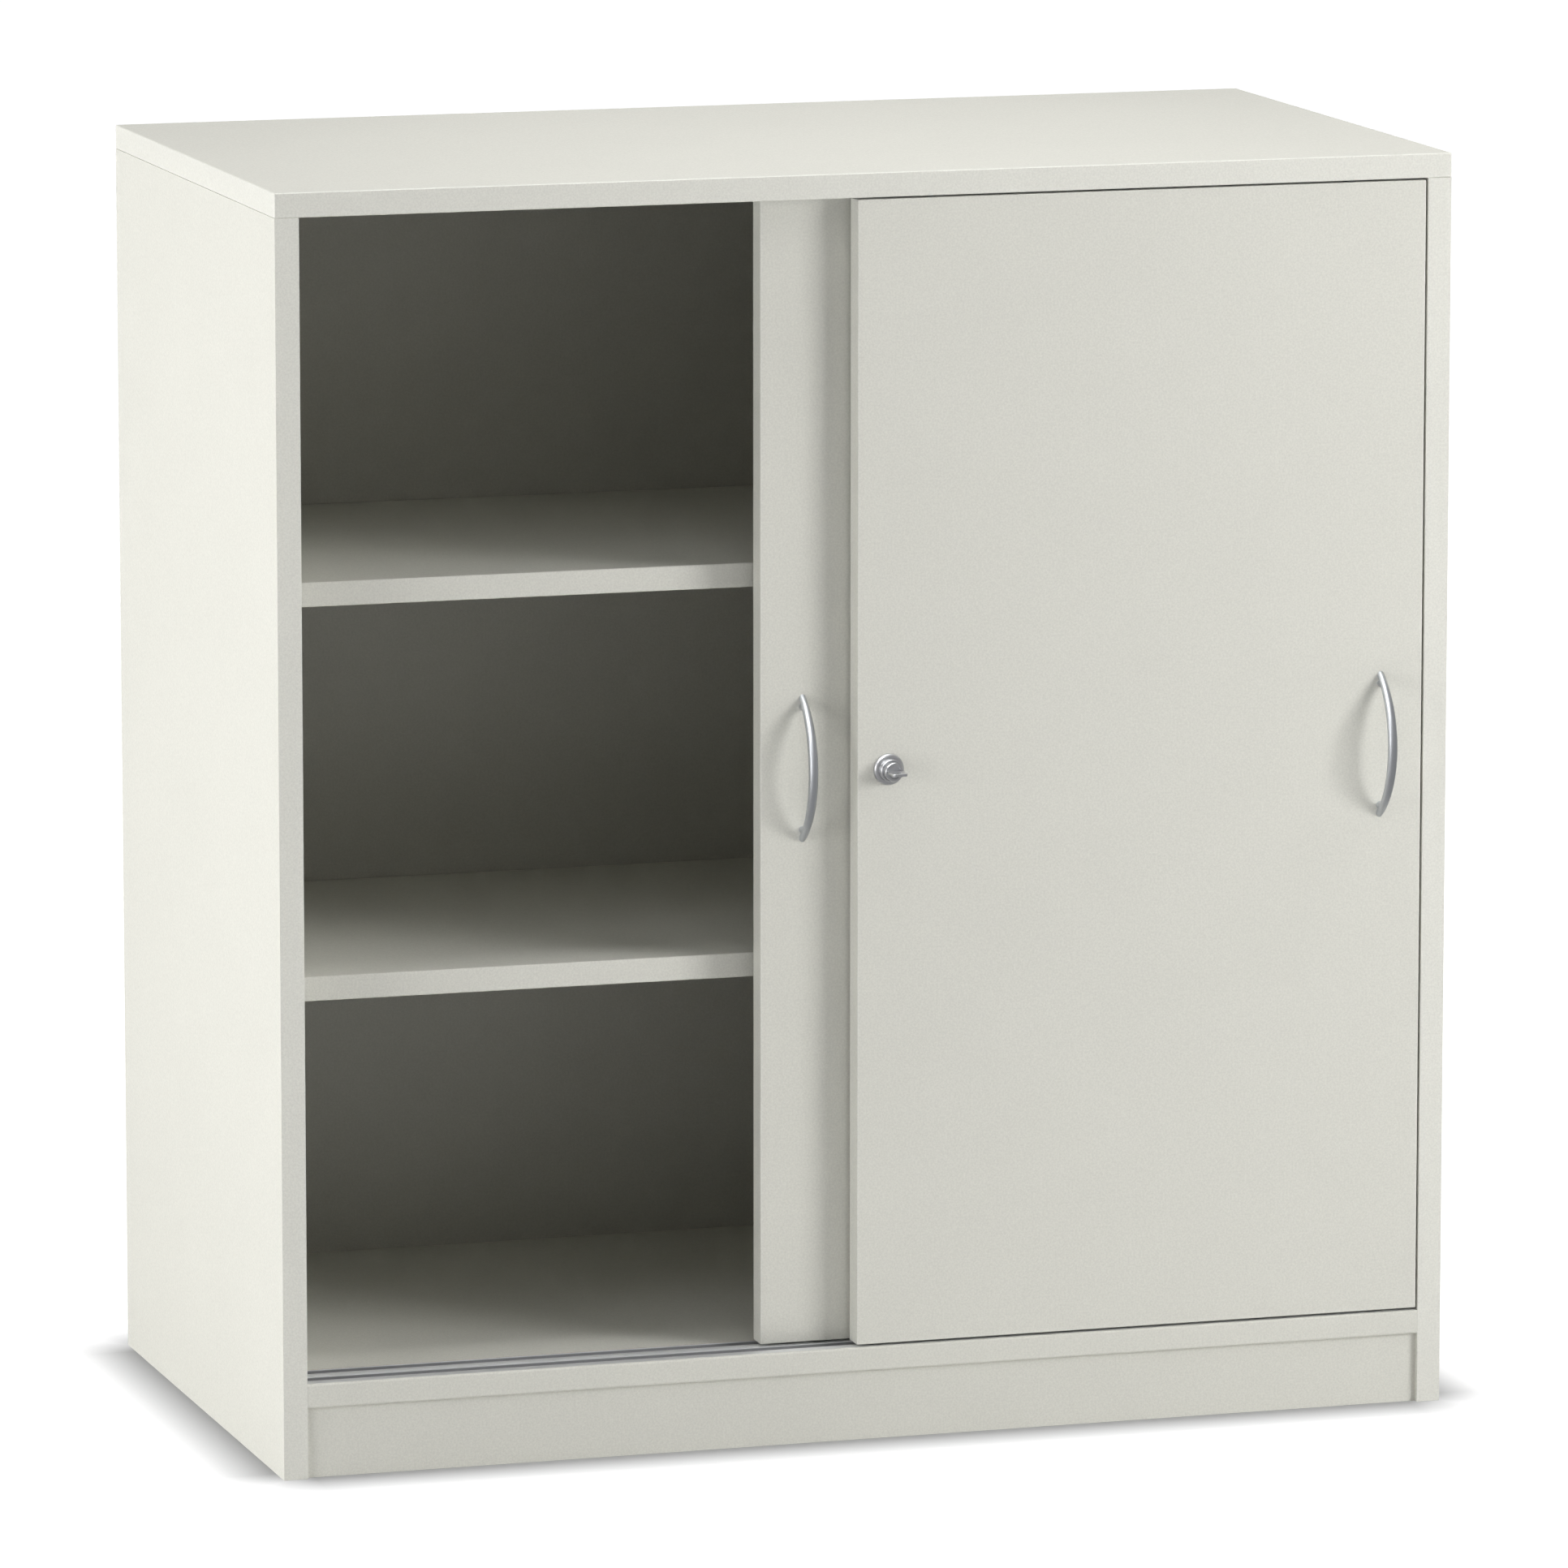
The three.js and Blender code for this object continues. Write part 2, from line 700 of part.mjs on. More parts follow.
// The spring lies round the bolt on the housing's floor, drawn at its pressed length
function lockSpring() {
  const floor = doorThickness - housingBackset - housingFloor - seatGap - springWireRadius;
  const pressedFront = cylinderLength - cylinderReach + cylinderTravel + seatGap + springWireRadius;
  const radius = (boltRadius + cylinderRadius) / 2;
  const ringAt = (t) => {
    const angle = t * springTurns * Math.PI * 2;
    const out = new THREE.Vector3(Math.cos(angle), 0, Math.sin(angle));
    const middle = out.clone().multiplyScalar(radius).setY(floor + (pressedFront - floor) * t);
    return { middle, out, across: new THREE.Vector3(0, 1, 0), radius: springWireRadius };
  };
  return rodAlong(ringAt, springSides, springTurns * springSteps);
}

// The key lies level: its blade is in the core and its bow stands in front of the cylinder
function key() {
  const bowEnd = -cylinderReach - keyStandoff;
  const bowFront = bowEnd - keyBowLength;
  const half = keyBowWidth / 2;
  const shape = new THREE.Shape();
  shape.moveTo(-keyBladeWidth / 2, bowEnd + keyBladeLength);
  shape.lineTo(-keyBladeWidth / 2, bowEnd);
  shape.lineTo(-half, bowEnd - keyStandoff);
  shape.lineTo(-half, bowFront + keyBowCorner);
  shape.absarc(-half + keyBowCorner, bowFront + keyBowCorner, keyBowCorner, Math.PI, Math.PI * 3 / 2, false);
  shape.lineTo(half - keyBowCorner, bowFront);
  shape.absarc(half - keyBowCorner, bowFront + keyBowCorner, keyBowCorner, -Math.PI / 2, 0, false);
  shape.lineTo(half, bowEnd - keyStandoff);
  shape.lineTo(keyBladeWidth / 2, bowEnd);
  shape.lineTo(keyBladeWidth / 2, bowEnd + keyBladeLength);
  shape.closePath();
  const hole = new THREE.Path();
  hole.absarc(0, bowFront + keyBowCorner + keyHoleRadius, keyHoleRadius, 0, Math.PI * 2, true);
  shape.holes.push(hole);
  const geometry = new THREE.ExtrudeGeometry(shape, {
    depth: keyThickness,
    bevelEnabled: false,
    curveSegments: edgeSteps * 2,
  });
  geometry.translate(0, 0, -keyThickness / 2);
  return solid(geometry);
}

function strikePlate() {
  let plate = block(
    [-strikeWidth / 2, -strikeThickness, -strikeHeight / 2],
    [strikeWidth / 2, 0, strikeHeight / 2],
  );
  for (const side of [-1, 1]) {
    const start = [0, -strikeThickness / 2, side * strikePegSpacing / 2];
    plate = plate.add(cylinder(strikePegRadius, strikeThickness / 2 + strikePegDepth, 'y', start));
  }
  const hole = [0, -strikeThickness - cutOverrun, 0];
  return plate.subtract(cylinder(strikeHoleRadius, strikeThickness + 2 * cutOverrun, 'y', hole, roundSides));
}

// Assembly

function place(parent, name, body, material, x = 0, y = 0, z = 0) {
  const mesh = piece(name, body, material);
  mesh.position.set(x, y, z);
  parent.add(mesh);
  return mesh;
}

function addCarcass(parent) {
  const { board, back } = finishes;
  place(parent, 'top_panel', topPanel(), board, 0, 0, ceiling);
  place(parent, 'left_side_panel', sidePanel(true), board);
  place(parent, 'right_side_panel', sidePanel(false), board, innerRight);
  place(parent, 'bottom_panel', bottomPanel(), board, innerLeft, 0, plinthHeight);
  place(parent, 'plinth_board', plinthBoard(), board, innerLeft, plinthSetback);
  place(parent, 'back_panel', backPanel(), back, innerLeft - backTongue, backFront, floorTop - backTongue);
}

function addShelves(parent) {
  const rows = [['lower', lowerShelfZ], ['upper', upperShelfZ]];
  for (const [row, z] of rows) {
    place(parent, `${row}_shelf`, shelf(), finishes.board, innerLeft + shelfSideGap, shelfFront, z);
    const depths = [['front', shelfFront + supportInset], ['rear', backFront - supportInset]];
    for (const [end, y] of depths) {
      place(parent, `${row}_shelf_support_left_${end}`, shelfSupport(), finishes.nickel, innerLeft, y, z);
      const right = place(
        parent, `${row}_shelf_support_right_${end}`, shelfSupport(), finishes.nickel, innerRight, y, z);
      right.rotation.z = Math.PI;
    }
  }
}

function addDowels(parent) {
  const ends = ['front', 'rear'];
  dowelPlaces().forEach((y, i) => {
    const end = ends[i];
    const top = ceiling - dowelInBoardEnd;
    place(parent, `top_dowel_left_${end}`, dowel('z'), finishes.beech, boardThickness / 2, y, top);
    place(
      parent, `top_dowel_right_${end}`, dowel('z'), finishes.beech, carcassWidth - boardThickness / 2, y, top);
    const middle = plinthHeight + boardThickness / 2;
    const left = innerLeft - dowelInBoardFace;
    place(parent, `bottom_dowel_left_${end}`, dowel('x'), finishes.beech, left, y, middle);
    const right = innerRight - dowelInBoardEnd;
    place(parent, `bottom_dowel_right_${end}`, dowel('x'), finishes.beech, right, y, middle);
  });
}

function addTracks(parent) {
  const left = innerLeft + trackEndGap;
  place(parent, 'lower_track', lowerTrack(), finishes.aluminium, left, trackFront, floorTop - trackHeight);
  place(parent, 'upper_track', upperTrack(), finishes.aluminium, left, trackFront, ceiling + trackHeight);
  const [frontGroove, rearGroove] = upperGrooveMiddles();
  const pinSide = guidePinRadius + trackEndGap;
  const openedPin = frontDoorLeft + guideInset - (rearDoorLeft - rearDoorClosedLeft);
  const frontStopLeft = openedPin - pinSide - stopLength;
  const rearStopLeft = rearDoorLeft + rearDoorWidth - guideInset + pinSide;
  place(parent, 'front_door_stop', doorStop(), finishes.plastic, frontStopLeft, frontGroove, ceiling);
  place(parent, 'rear_door_stop', doorStop(), finishes.plastic, rearStopLeft, rearGroove, ceiling);
}

// The fittings that both doors share: handle, screws, runners and guides
function addDoorFittings(door, name, width, handleX) {
  place(door, `${name}_handle`, bowHandle(), finishes.satin, handleX, 0, fittingZ);
  for (const [end, side] of [['lower', -1], ['upper', 1]]) {
    const z = fittingZ + side * handleScrewSpacing / 2;
    place(door, `${name}_handle_screw_${end}`, handleScrew(), finishes.steel, handleX, 0, z);
  }
  for (const [end, x] of [['left', runnerInset], ['right', width - runnerInset]]) {
    place(door, `${name}_runner_housing_${end}`, runnerHousing(), finishes.plastic, x);
    place(door, `${name}_runner_axle_${end}`, runnerAxle(), finishes.steel, x, 0, wheelAxisZ);
    place(door, `${name}_runner_wheel_${end}`, runnerWheel(), finishes.plastic, x, wheelMiddleY, wheelAxisZ);
  }
  for (const [end, x] of [['left', guideInset], ['right', width - guideInset]]) {
    place(door, `${name}_guide_pin_${end}`, guidePin(), finishes.plastic, x, doorThickness / 2, doorHeight);
  }
}

function addFrontDoor(parent) {
  const door = new THREE.Group();
  door.position.set(frontDoorLeft, frontDoorY, doorBottom);
  place(door, 'front_door_panel', frontDoorPanel(), finishes.board);
  addDoorFittings(door, 'front', frontDoorWidth, frontDoorWidth - handleInset);
  const lock = new THREE.Group();
  lock.position.set(lockInset, 0, fittingZ);
  place(lock, 'lock_rosette', lockRosette(), finishes.nickel);
  place(lock, 'lock_housing', lockHousing(), finishes.nickel);
  place(lock, 'lock_nut', lockNut(), finishes.steel);
  place(lock, 'lock_spring', lockSpring(), finishes.steel);
  place(lock, 'lock_cylinder', lockCylinder(), finishes.nickel);
  place(lock, 'lock_core', lockCore(), finishes.nickel);
  place(lock, 'key', key(), finishes.nickel);
  door.add(lock);
  parent.add(door);
}

function addRearDoor(parent) {
  const door = new THREE.Group();
  door.position.set(rearDoorLeft, rearDoorY, doorBottom);
  place(door, 'rear_door_panel', rearDoorPanel(), finishes.board);
  addDoorFittings(door, 'rear', rearDoorWidth, handleInset);
  place(door, 'strike_plate', strikePlate(), finishes.nickel, strikeX, 0, fittingZ);
  parent.add(door);
}

const cabinet = new THREE.Group();
cabinet.position.set(-carcassWidth / 2, -boxMiddleY, 0);
addCarcass(cabinet);
addShelves(cabinet);
addDowels(cabinet);
addTracks(cabinet);
addFrontDoor(cabinet);
addRearDoor(cabinet);

const model = new THREE.Group();
model.add(cabinet);

export default model;
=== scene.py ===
# Sliding door cabinet: boards, tracks, doors, bow handles and a push lock, with a small white studio.
# Metres, +Z up, the front faces -Y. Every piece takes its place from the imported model.

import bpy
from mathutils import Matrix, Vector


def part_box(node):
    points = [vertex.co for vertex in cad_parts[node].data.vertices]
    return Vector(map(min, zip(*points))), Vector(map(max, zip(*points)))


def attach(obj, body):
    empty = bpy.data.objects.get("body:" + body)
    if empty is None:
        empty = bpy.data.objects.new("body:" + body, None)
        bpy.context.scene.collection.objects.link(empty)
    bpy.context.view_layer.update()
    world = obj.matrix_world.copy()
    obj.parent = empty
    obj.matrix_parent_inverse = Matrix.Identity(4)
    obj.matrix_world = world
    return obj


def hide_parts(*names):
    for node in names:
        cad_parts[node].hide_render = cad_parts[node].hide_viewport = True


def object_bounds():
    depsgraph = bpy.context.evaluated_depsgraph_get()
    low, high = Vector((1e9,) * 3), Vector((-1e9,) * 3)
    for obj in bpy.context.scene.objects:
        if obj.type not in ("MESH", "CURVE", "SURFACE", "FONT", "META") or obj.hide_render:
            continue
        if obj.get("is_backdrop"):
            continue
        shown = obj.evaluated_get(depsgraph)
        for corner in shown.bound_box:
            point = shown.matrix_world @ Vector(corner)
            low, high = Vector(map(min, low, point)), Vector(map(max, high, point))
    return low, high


bl_info = {
    "name": "Sliding Door Cabinet",
    "version": (1, 0, 0),
    "blender": (4, 5, 0),
    "location": "3D View > Sidebar > Cabinet",
    "description": "Makes the finished pieces of an office cabinet with two sliding doors",
    "category": "Object",
}

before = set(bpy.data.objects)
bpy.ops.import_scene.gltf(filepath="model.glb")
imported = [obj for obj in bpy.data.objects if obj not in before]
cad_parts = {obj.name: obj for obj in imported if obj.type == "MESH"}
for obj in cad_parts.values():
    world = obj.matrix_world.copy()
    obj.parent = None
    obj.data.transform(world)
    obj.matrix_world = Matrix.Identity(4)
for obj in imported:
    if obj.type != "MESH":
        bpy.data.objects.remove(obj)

import math

import bmesh
import bpy
from bpy.props import FloatProperty, FloatVectorProperty, IntProperty, PointerProperty
from mathutils import Matrix, Vector

MODEL_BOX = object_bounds()

MM = 0.001
TINY = 1e-7
X, Y, Z = range(3)
SIDES = ("left", "right")
ENDS = ("front", "rear")
DOORS = ("front", "rear")
LEVELS = ("lower", "upper")

# Gaps between a piece and the hole, groove or neighbour that holds it
SEAT_GAP = 0.3 * MM
JOINT_GAP = 0.02 * MM
LOCK_GAP = 0.08 * MM

# How near a cut has to come to a board's face to open it, and how far it then runs past
OPEN_WITHIN = 1 * MM
OVERRUN = 5 * MM

# Sizes that a piece shares with the hole that holds it
SCREW_RADIUS = 1.7 * MM
SUPPORT_PIN_RADIUS = 2.5 * MM
AXLE_RADIUS = 2.4 * MM
AXLE_HEAD_RADIUS = 4.2 * MM
AXLE_HEAD_HEIGHT = 1.4 * MM


# Settings that a user would change

def number_setting(name, description, default, **options):
    return FloatProperty(name=name, description=description, default=default, **options)


def size_setting(name, description, default):
    return number_setting(name, description, default, min=0.0, precision=5, unit="LENGTH")


def share_setting(name, description, default):
    return number_setting(name, description, default, min=0.0, max=1.0, subtype="FACTOR")


def angle_setting(name, description, default):
    return number_setting(name, description, math.radians(default), subtype="ANGLE")


def power_setting(name, description, default):
    return number_setting(name, description, default, min=0.0, subtype="POWER")


def light_setting(name, description, default):
    return number_setting(name, description, default, min=0.0)


def count_setting(name, description, default):
    return IntProperty(name=name, description=description, default=default, min=1)


def colour_setting(name, description, default):
    return FloatVectorProperty(
        name=name, description=description, default=default, size=3, min=0.0, max=1.0, subtype="COLOR")


class BoardSettings(bpy.types.PropertyGroup):
    """Sizes and colours of the coated boards"""

    edge_radius: size_setting("Edge radius", "Rounding of the banded edges", 1 * MM)
    rail_radius: size_setting("Rail radius", "Rounding of the bottom board's front edges", 2 * MM)
    edge_steps: count_setting("Edge steps", "Facets across one rounded edge", 6)
    plain_radius: size_setting("Plain edge radius", "Softening of the edges without a thick band", 0.3 * MM)
    face_colour: colour_setting("Face colour", "Colour of the coated faces", (0.708, 0.702, 0.642))
    # Painted light: the bands are lighter than the faces to stand in for light falling on the banded edges
    band_colour_with_painted_light: colour_setting("Band colour", "Colour of the edge bands", (0.762, 0.757, 0.698))
    chip_colour: colour_setting("Chip colour", "Colour of the raw board in cuts", (0.42, 0.29, 0.17))
    # Painted shade: the back board is a darker copy of the boards' coating, for the shade inside the cabinet
    back_painted_shade_colour: colour_setting("Back colour", "Colour of the thin back board", (0.60, 0.592, 0.552))
    face_roughness: share_setting("Face roughness", "Roughness of the coated faces", 0.52)
    speckle_size: size_setting("Speckle size", "Grain of the fine speckle in the coating", 1.5 * MM)
    speckle_share: share_setting("Speckle share", "Lightness change of the fine speckle", 0.058)


class FittingSettings(bpy.types.PropertyGroup):
    """Sizes and colours of tracks, runners, supports and fasteners"""

    corner_radius: size_setting("Corner radius", "Softening of the corners of small pieces", 0.3 * MM)
    corner_steps: count_setting("Corner steps", "Facets across one softened corner", 3)
    round_steps: count_setting("Round steps", "Facets round a turned piece", 72)
    track_floor: size_setting("Track floor", "Thickness of a track under its grooves", 1.5 * MM)
    lower_groove: size_setting("Lower groove", "Width of a groove in the lower track", 11 * MM)
    upper_groove: size_setting("Upper groove", "Width of a groove in the upper track", 8 * MM)
    bead_width: size_setting("Bead width", "Width of the fine line along the track's rib", 0.7 * MM)
    bead_depth: size_setting("Bead depth", "Depth of the fine line along the track's rib", 0.35 * MM)
    aluminium_colour: colour_setting("Aluminium colour", "Colour of the tracks", (0.84, 0.855, 0.86))
    # Painted shade: this darker colour stands in for the shadow inside the lower track's grooves
    groove_painted_shade_colour: colour_setting("Groove colour", "Colour of the rubbed grooves", (0.38, 0.385, 0.395))
    steel_colour: colour_setting("Steel colour", "Colour of the zinc-plated steel", (0.42, 0.43, 0.44))
    plastic_colour: colour_setting("Plastic colour", "Colour of the grey plastic", (0.27, 0.275, 0.285))
    beech_colour: colour_setting("Beech colour", "Colour of the wooden dowels", (0.56, 0.38, 0.22))


class HandleSettings(bpy.types.PropertyGroup):
    """Sizes and finish of the two bow handles"""

    half_chord: size_setting("Half chord", "Half the length of the bow at the door's face", 54.3 * MM)
    bow: size_setting("Bow", "Reach of the rod's middle line in front of the door", 28.3 * MM)
    middle_radius: size_setting("Middle radius", "Radius of the rod in the middle", 3.7 * MM)
    end_radius: size_setting("End radius", "Radius of the rod at its ends", 2.7 * MM)
    foot_radius: size_setting("Foot radius", "Radius of the feet that take the screws", 2.8 * MM)
    foot_reach: size_setting("Foot reach", "Length of the feet in front of the door", 7.5 * MM)
    foot_inset: size_setting("Foot inset", "Distance of a foot from the end of the bow", 6.3 * MM)
    rod_sides: count_setting("Rod sides", "Facets round the rod", 40)
    rod_steps: count_setting("Rod steps", "Facets along the rod", 96)
    colour: colour_setting("Colour", "Colour of the satin metal", (0.59, 0.61, 0.64))
    roughness: share_setting("Roughness", "Roughness of the satin metal", 0.44)


class LockSettings(bpy.types.PropertyGroup):
    """Sizes and finish of the push lock, its key and its strike plate"""

    bevel: size_setting("Bevel", "Bevel of the turned edges", 0.5 * MM)
    rosette_rim: size_setting("Rosette rim", "Height of the rosette's outer edge", 0.9 * MM)
    housing_floor: size_setting("Housing floor", "Thickness of the housing's rear end", 6.5 * MM)
    bolt_radius: size_setting("Bolt radius", "Radius of the sliding bolt", 4 * MM)
    cylinder_length: size_setting("Cylinder length", "Length of the pushed cylinder", 15 * MM)
    cylinder_web: size_setting("Cylinder web", "Thickness behind the core", 1.5 * MM)
    blade_width: size_setting("Blade width", "Width of the key's blade", 6.5 * MM)
    blade_length: size_setting("Blade length", "Length of the key's blade in the core", 11.5 * MM)
    bow_corner: size_setting("Bow corner", "Corner radius of the key's bow", 3 * MM)
    bow_hole: size_setting("Bow hole", "Radius of the hole in the key's bow", 2 * MM)
    shoulder: size_setting("Key shoulder", "Height of the slope between blade and bow", 0.6 * MM)
    key_edge: size_setting("Key edge", "Softening of the key's edges", 0.35 * MM)
    wire_radius: size_setting("Wire radius", "Radius of the spring's wire", 0.45 * MM)
    spring_turns: count_setting("Spring turns", "Turns of the spring", 4)
    strike_hole: size_setting("Strike hole", "Radius of the hole in the strike plate", 4.8 * MM)
    peg_radius: size_setting("Peg radius", "Radius of the strike plate's pegs", 2.5 * MM)
    peg_depth: size_setting("Peg depth", "Length of the pegs in the door", 6 * MM)
    peg_spacing: size_setting("Peg spacing", "Distance between the pegs", 23 * MM)
    colour: colour_setting("Colour", "Colour of the nickel plating", (0.64, 0.645, 0.665))
    roughness: share_setting("Roughness", "Roughness of the nickel plating", 0.37)


class StudioSettings(bpy.types.PropertyGroup):
    """Camera, floor and lights"""

    azimuth: angle_setting("Azimuth", "Direction of view round the cabinet", -17.151)
    elevation: angle_setting("Elevation", "Height of the view above the horizon", 9.616)
    distance: size_setting("Distance", "Distance from the camera to its aim", 8.648)
    aim_height: size_setting("Aim height", "Height of the camera's aim over the floor", 0.4783)
    aim_shift: size_setting("Aim shift", "Shift of the camera and its aim to the right", 1.6 * MM)
    lens: number_setting("Lens", "Focal length in millimetres on a 36 mm sensor", 251.7, unit="CAMERA")
    side_power: power_setting("Side power", "Power of the lamp at the left side", 106.0)
    key_power: power_setting("Key power", "Power of the lamp in front at the right", 43.5)
    right_power: power_setting("Right power", "Power of the raised lamp in front at the right", 18.0)
    top_power: power_setting("Top power", "Power of the lamp overhead", 33.0)
    left_power: power_setting("Left power", "Power of the low lamp in front at the left", 21.0)
    near_power: power_setting("Near power", "Power of the near lamp above the camera's view", 3.8)
    back_power: power_setting("Back power", "Power of the lamp behind the cabinet", 27.0)
    sheen_power: power_setting("Sheen power", "Power of the lamp that only shiny surfaces show", 54.0)
    dome_strength: light_setting("Dome strength", "Strength of the dome that the metal parts mirror", 0.32)
    sheet_glow: light_setting("Sheet glow", "Light of the white sheet away from the cabinet", 1.05)
    contact_glow: light_setting("Contact glow", "Light of the white sheet at the cabinet's foot", 0.22)
    contact_reach: size_setting("Contact reach", "Width of the shade round the cabinet's foot", 55 * MM)


class CabinetSettings(bpy.types.PropertyGroup):
    """All settings of the cabinet"""

    boards: PointerProperty(type=BoardSettings)
    fittings: PointerProperty(type=FittingSettings)
    handles: PointerProperty(type=HandleSettings)
    lock: PointerProperty(type=LockSettings)
    studio: PointerProperty(type=StudioSettings)


def settings():
    return bpy.context.scene.sliding_cabinet


# Node trees, for shapes and finishes alike

def add_node(tree, kind, inputs=None, **options):
    """Adds a node, whose inputs are given by name or number as plain values or as other nodes' outputs"""
    node = tree.nodes.new(kind)
    for option, value in options.items():
        setattr(node, option, value)
    for socket, value in (inputs or {}).items():
        if isinstance(value, bpy.types.NodeSocket):
            tree.links.new(value, node.inputs[socket])
        else:
            node.inputs[socket].default_value = value
    return node


def calculate(tree, operation, first, second=0.0):
    return add_node(tree, "ShaderNodeMath", {0: first, 1: second}, operation=operation).outputs["Value"]


# Finishes

# Numbers of a Mix node's factor and colour inputs, and of its colour output
MIX_FACTOR, MIX_FIRST, MIX_SECOND, MIX_RESULT = 0, 6, 7, 2

# The stretch of noise values that holds nearly all of a noise texture
NOISE_LOW = 0.32
NOISE_HIGH = 0.68


def scaled(colour, share):
    """A colour made lighter or darker, with the full cover that sockets ask for"""
    return (*(min(part * share, 1.0) for part in colour), 1.0)


class Finish:
    """A material in the making: one shader that reads the piece's own coordinates"""

    def __init__(self, name, roughness, metallic=0.0):
        self.material = bpy.data.materials.new(name)
        self.material.use_nodes = True
        self.tree = self.material.node_tree
        self.tree.nodes.clear()
        values = {"Roughness": roughness, "Metallic": metallic}
        self.shader = add_node(self.tree, "ShaderNodeBsdfPrincipled", values)
        surface = {"Surface": self.shader.outputs["BSDF"]}
        add_node(self.tree, "ShaderNodeOutputMaterial", surface)
        self.place = add_node(self.tree, "ShaderNodeTexCoord").outputs["Object"]

    def grain(self, size, detail=2.0, stretch=(1.0, 1.0, 1.0)):
        """A noise value with grains of about the given size, drawn out along the axes of the stretch"""
        scale = [1.0 / (size * value) for value in stretch]
        mapping = add_node(self.tree, "ShaderNodeMapping", {"Vector": self.place, "Scale": scale})
        values = {"Vector": mapping.outputs["Vector"], "Scale": 1.0, "Detail": detail}
        return add_node(self.tree, "ShaderNodeTexNoise", values).outputs["Fac"]

    def cells(self, size):
        """A value that changes from one chip or crystal to the next"""
        values = {"Vector": self.place, "Scale": 1.0 / size}
        colour = add_node(self.tree, "ShaderNodeTexVoronoi", values).outputs["Color"]
        return add_node(self.tree, "ShaderNodeSeparateColor", {"Color": colour}).outputs["Red"]

    def spread(self, value, low, high, source_low=NOISE_LOW, source_high=NOISE_HIGH):
        """Spreads a noise value over the range from low to high"""
        values = {"Value": value, "From Min": source_low, "From Max": source_high}
        values.update({"To Min": low, "To Max": high})
        return add_node(self.tree, "ShaderNodeMapRange", values).outputs["Result"]

    def add(self, first, second, operation="ADD"):
        return calculate(self.tree, operation, first, second)

    def tint(self, factor, first, second):
        """A colour between two, which are plain or other nodes' outputs, by a factor from 0 to 1"""
        values = {MIX_FACTOR: factor, MIX_FIRST: first, MIX_SECOND: second}
        return add_node(self.tree, "ShaderNodeMix", values, data_type="RGBA").outputs[MIX_RESULT]

    def shade(self, colour, value, share):
        """A colour that a noise value makes lighter and darker by a share"""
        change = self.spread(value, 0.0, 1.0)
        return self.tint(change, scaled(colour, 1.0 - share), scaled(colour, 1.0 + share))

    def bump(self, height, distance):
        values = {"Height": height, "Distance": distance, "Strength": 1.0}
        return add_node(self.tree, "ShaderNodeBump", values).outputs["Normal"]

    def use(self, **sockets):
        """Links values to the shader's sockets, named with underscores for spaces"""
        for socket, value in sockets.items():
            self.tree.links.new(value, self.shader.inputs[socket.replace("_", " ").title()])
        return self.material


def coated_finish(name, colour, boards, smoothness=0.0):
    """Melamine coating: fine speckle, faint clouds and a slight texture"""
    clouds_size = 0.12
    clouds_share = 0.12
    texture_size = 0.9 * MM
    texture_depth = 0.012 * MM
    roughness_change = 0.05
    finish = Finish(name, boards.face_roughness)
    speckle = finish.grain(boards.speckle_size)
    clouds = finish.add(finish.grain(clouds_size), clouds_share, "MULTIPLY")
    mixed = finish.add(finish.add(speckle, 1.0 - clouds_share, "MULTIPLY"), clouds)
    texture = finish.grain(texture_size, detail=3.0)
    middle = boards.face_roughness - smoothness
    return finish.use(
        base_color=finish.shade(colour, mixed, boards.speckle_share),
        roughness=finish.spread(texture, middle - roughness_change, middle + roughness_change),
        normal=finish.bump(texture, texture_depth),
    )


def board_face(cabinet):
    return coated_finish("board_face", cabinet.boards.face_colour, cabinet.boards)


def edge_band(cabinet):
    smoother = 0.08
    # The bands' lighter colour is painted light on the edges
    return coated_finish("edge_band", cabinet.boards.band_colour_with_painted_light, cabinet.boards, smoother)


def back_face(cabinet):
    rougher = -0.06
    # The back's darker colour is painted shade for the inside of the cabinet
    return coated_finish("back_face", cabinet.boards.back_painted_shade_colour, cabinet.boards, rougher)


def chipboard(cabinet):
    """Raw chipboard, as it shows in grooves and bores"""
    chip_size = 2.2 * MM
    pale_share = 1.5
    dark_share = 0.55
    grain_size = 0.6 * MM
    grain_depth = 0.15 * MM
    colour = cabinet.boards.chip_colour
    finish = Finish("chipboard", roughness=0.85)
    chips = finish.cells(chip_size)
    return finish.use(
        base_color=finish.tint(chips, scaled(colour, dark_share), scaled(colour, pale_share)),
        normal=finish.bump(finish.grain(grain_size), grain_depth),
    )


def anodised(cabinet):
    """Drawn and anodised aluminium, with fine lines along the track; painted shade darkens the lower grooves
    """
    painted_shade_below = 0.9 * MM
    unshaded_above = 0.25 * MM
    line_size = 0.35 * MM
    line_stretch = (250.0, 1.0, 1.0)
    line_depth = 0.01 * MM
    line_share = 0.05
    smoothest = 0.31
    roughest = 0.41
    fittings = cabinet.fittings
    finish = Finish("anodised_aluminium", roughness=0.36, metallic=0.35)
    lines = finish.grain(line_size, stretch=line_stretch)
    track_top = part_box("lower_track")[1].z
    # Painted shade: below the track's top the colour darkens to the groove colour, for the shadow in the
    # grooves
    height = add_node(finish.tree, "ShaderNodeSeparateXYZ", {"Vector": finish.place}).outputs["Z"]
    unshaded_share = finish.spread(height, 0.0, 1.0, track_top - painted_shade_below, track_top - unshaded_above)
    shine = finish.shade(fittings.aluminium_colour, lines, line_share)
    return finish.use(
        base_color=finish.tint(unshaded_share, scaled(fittings.groove_painted_shade_colour, 1.0), shine),
        roughness=finish.spread(lines, smoothest, roughest),
        normal=finish.bump(lines, line_depth),
    )


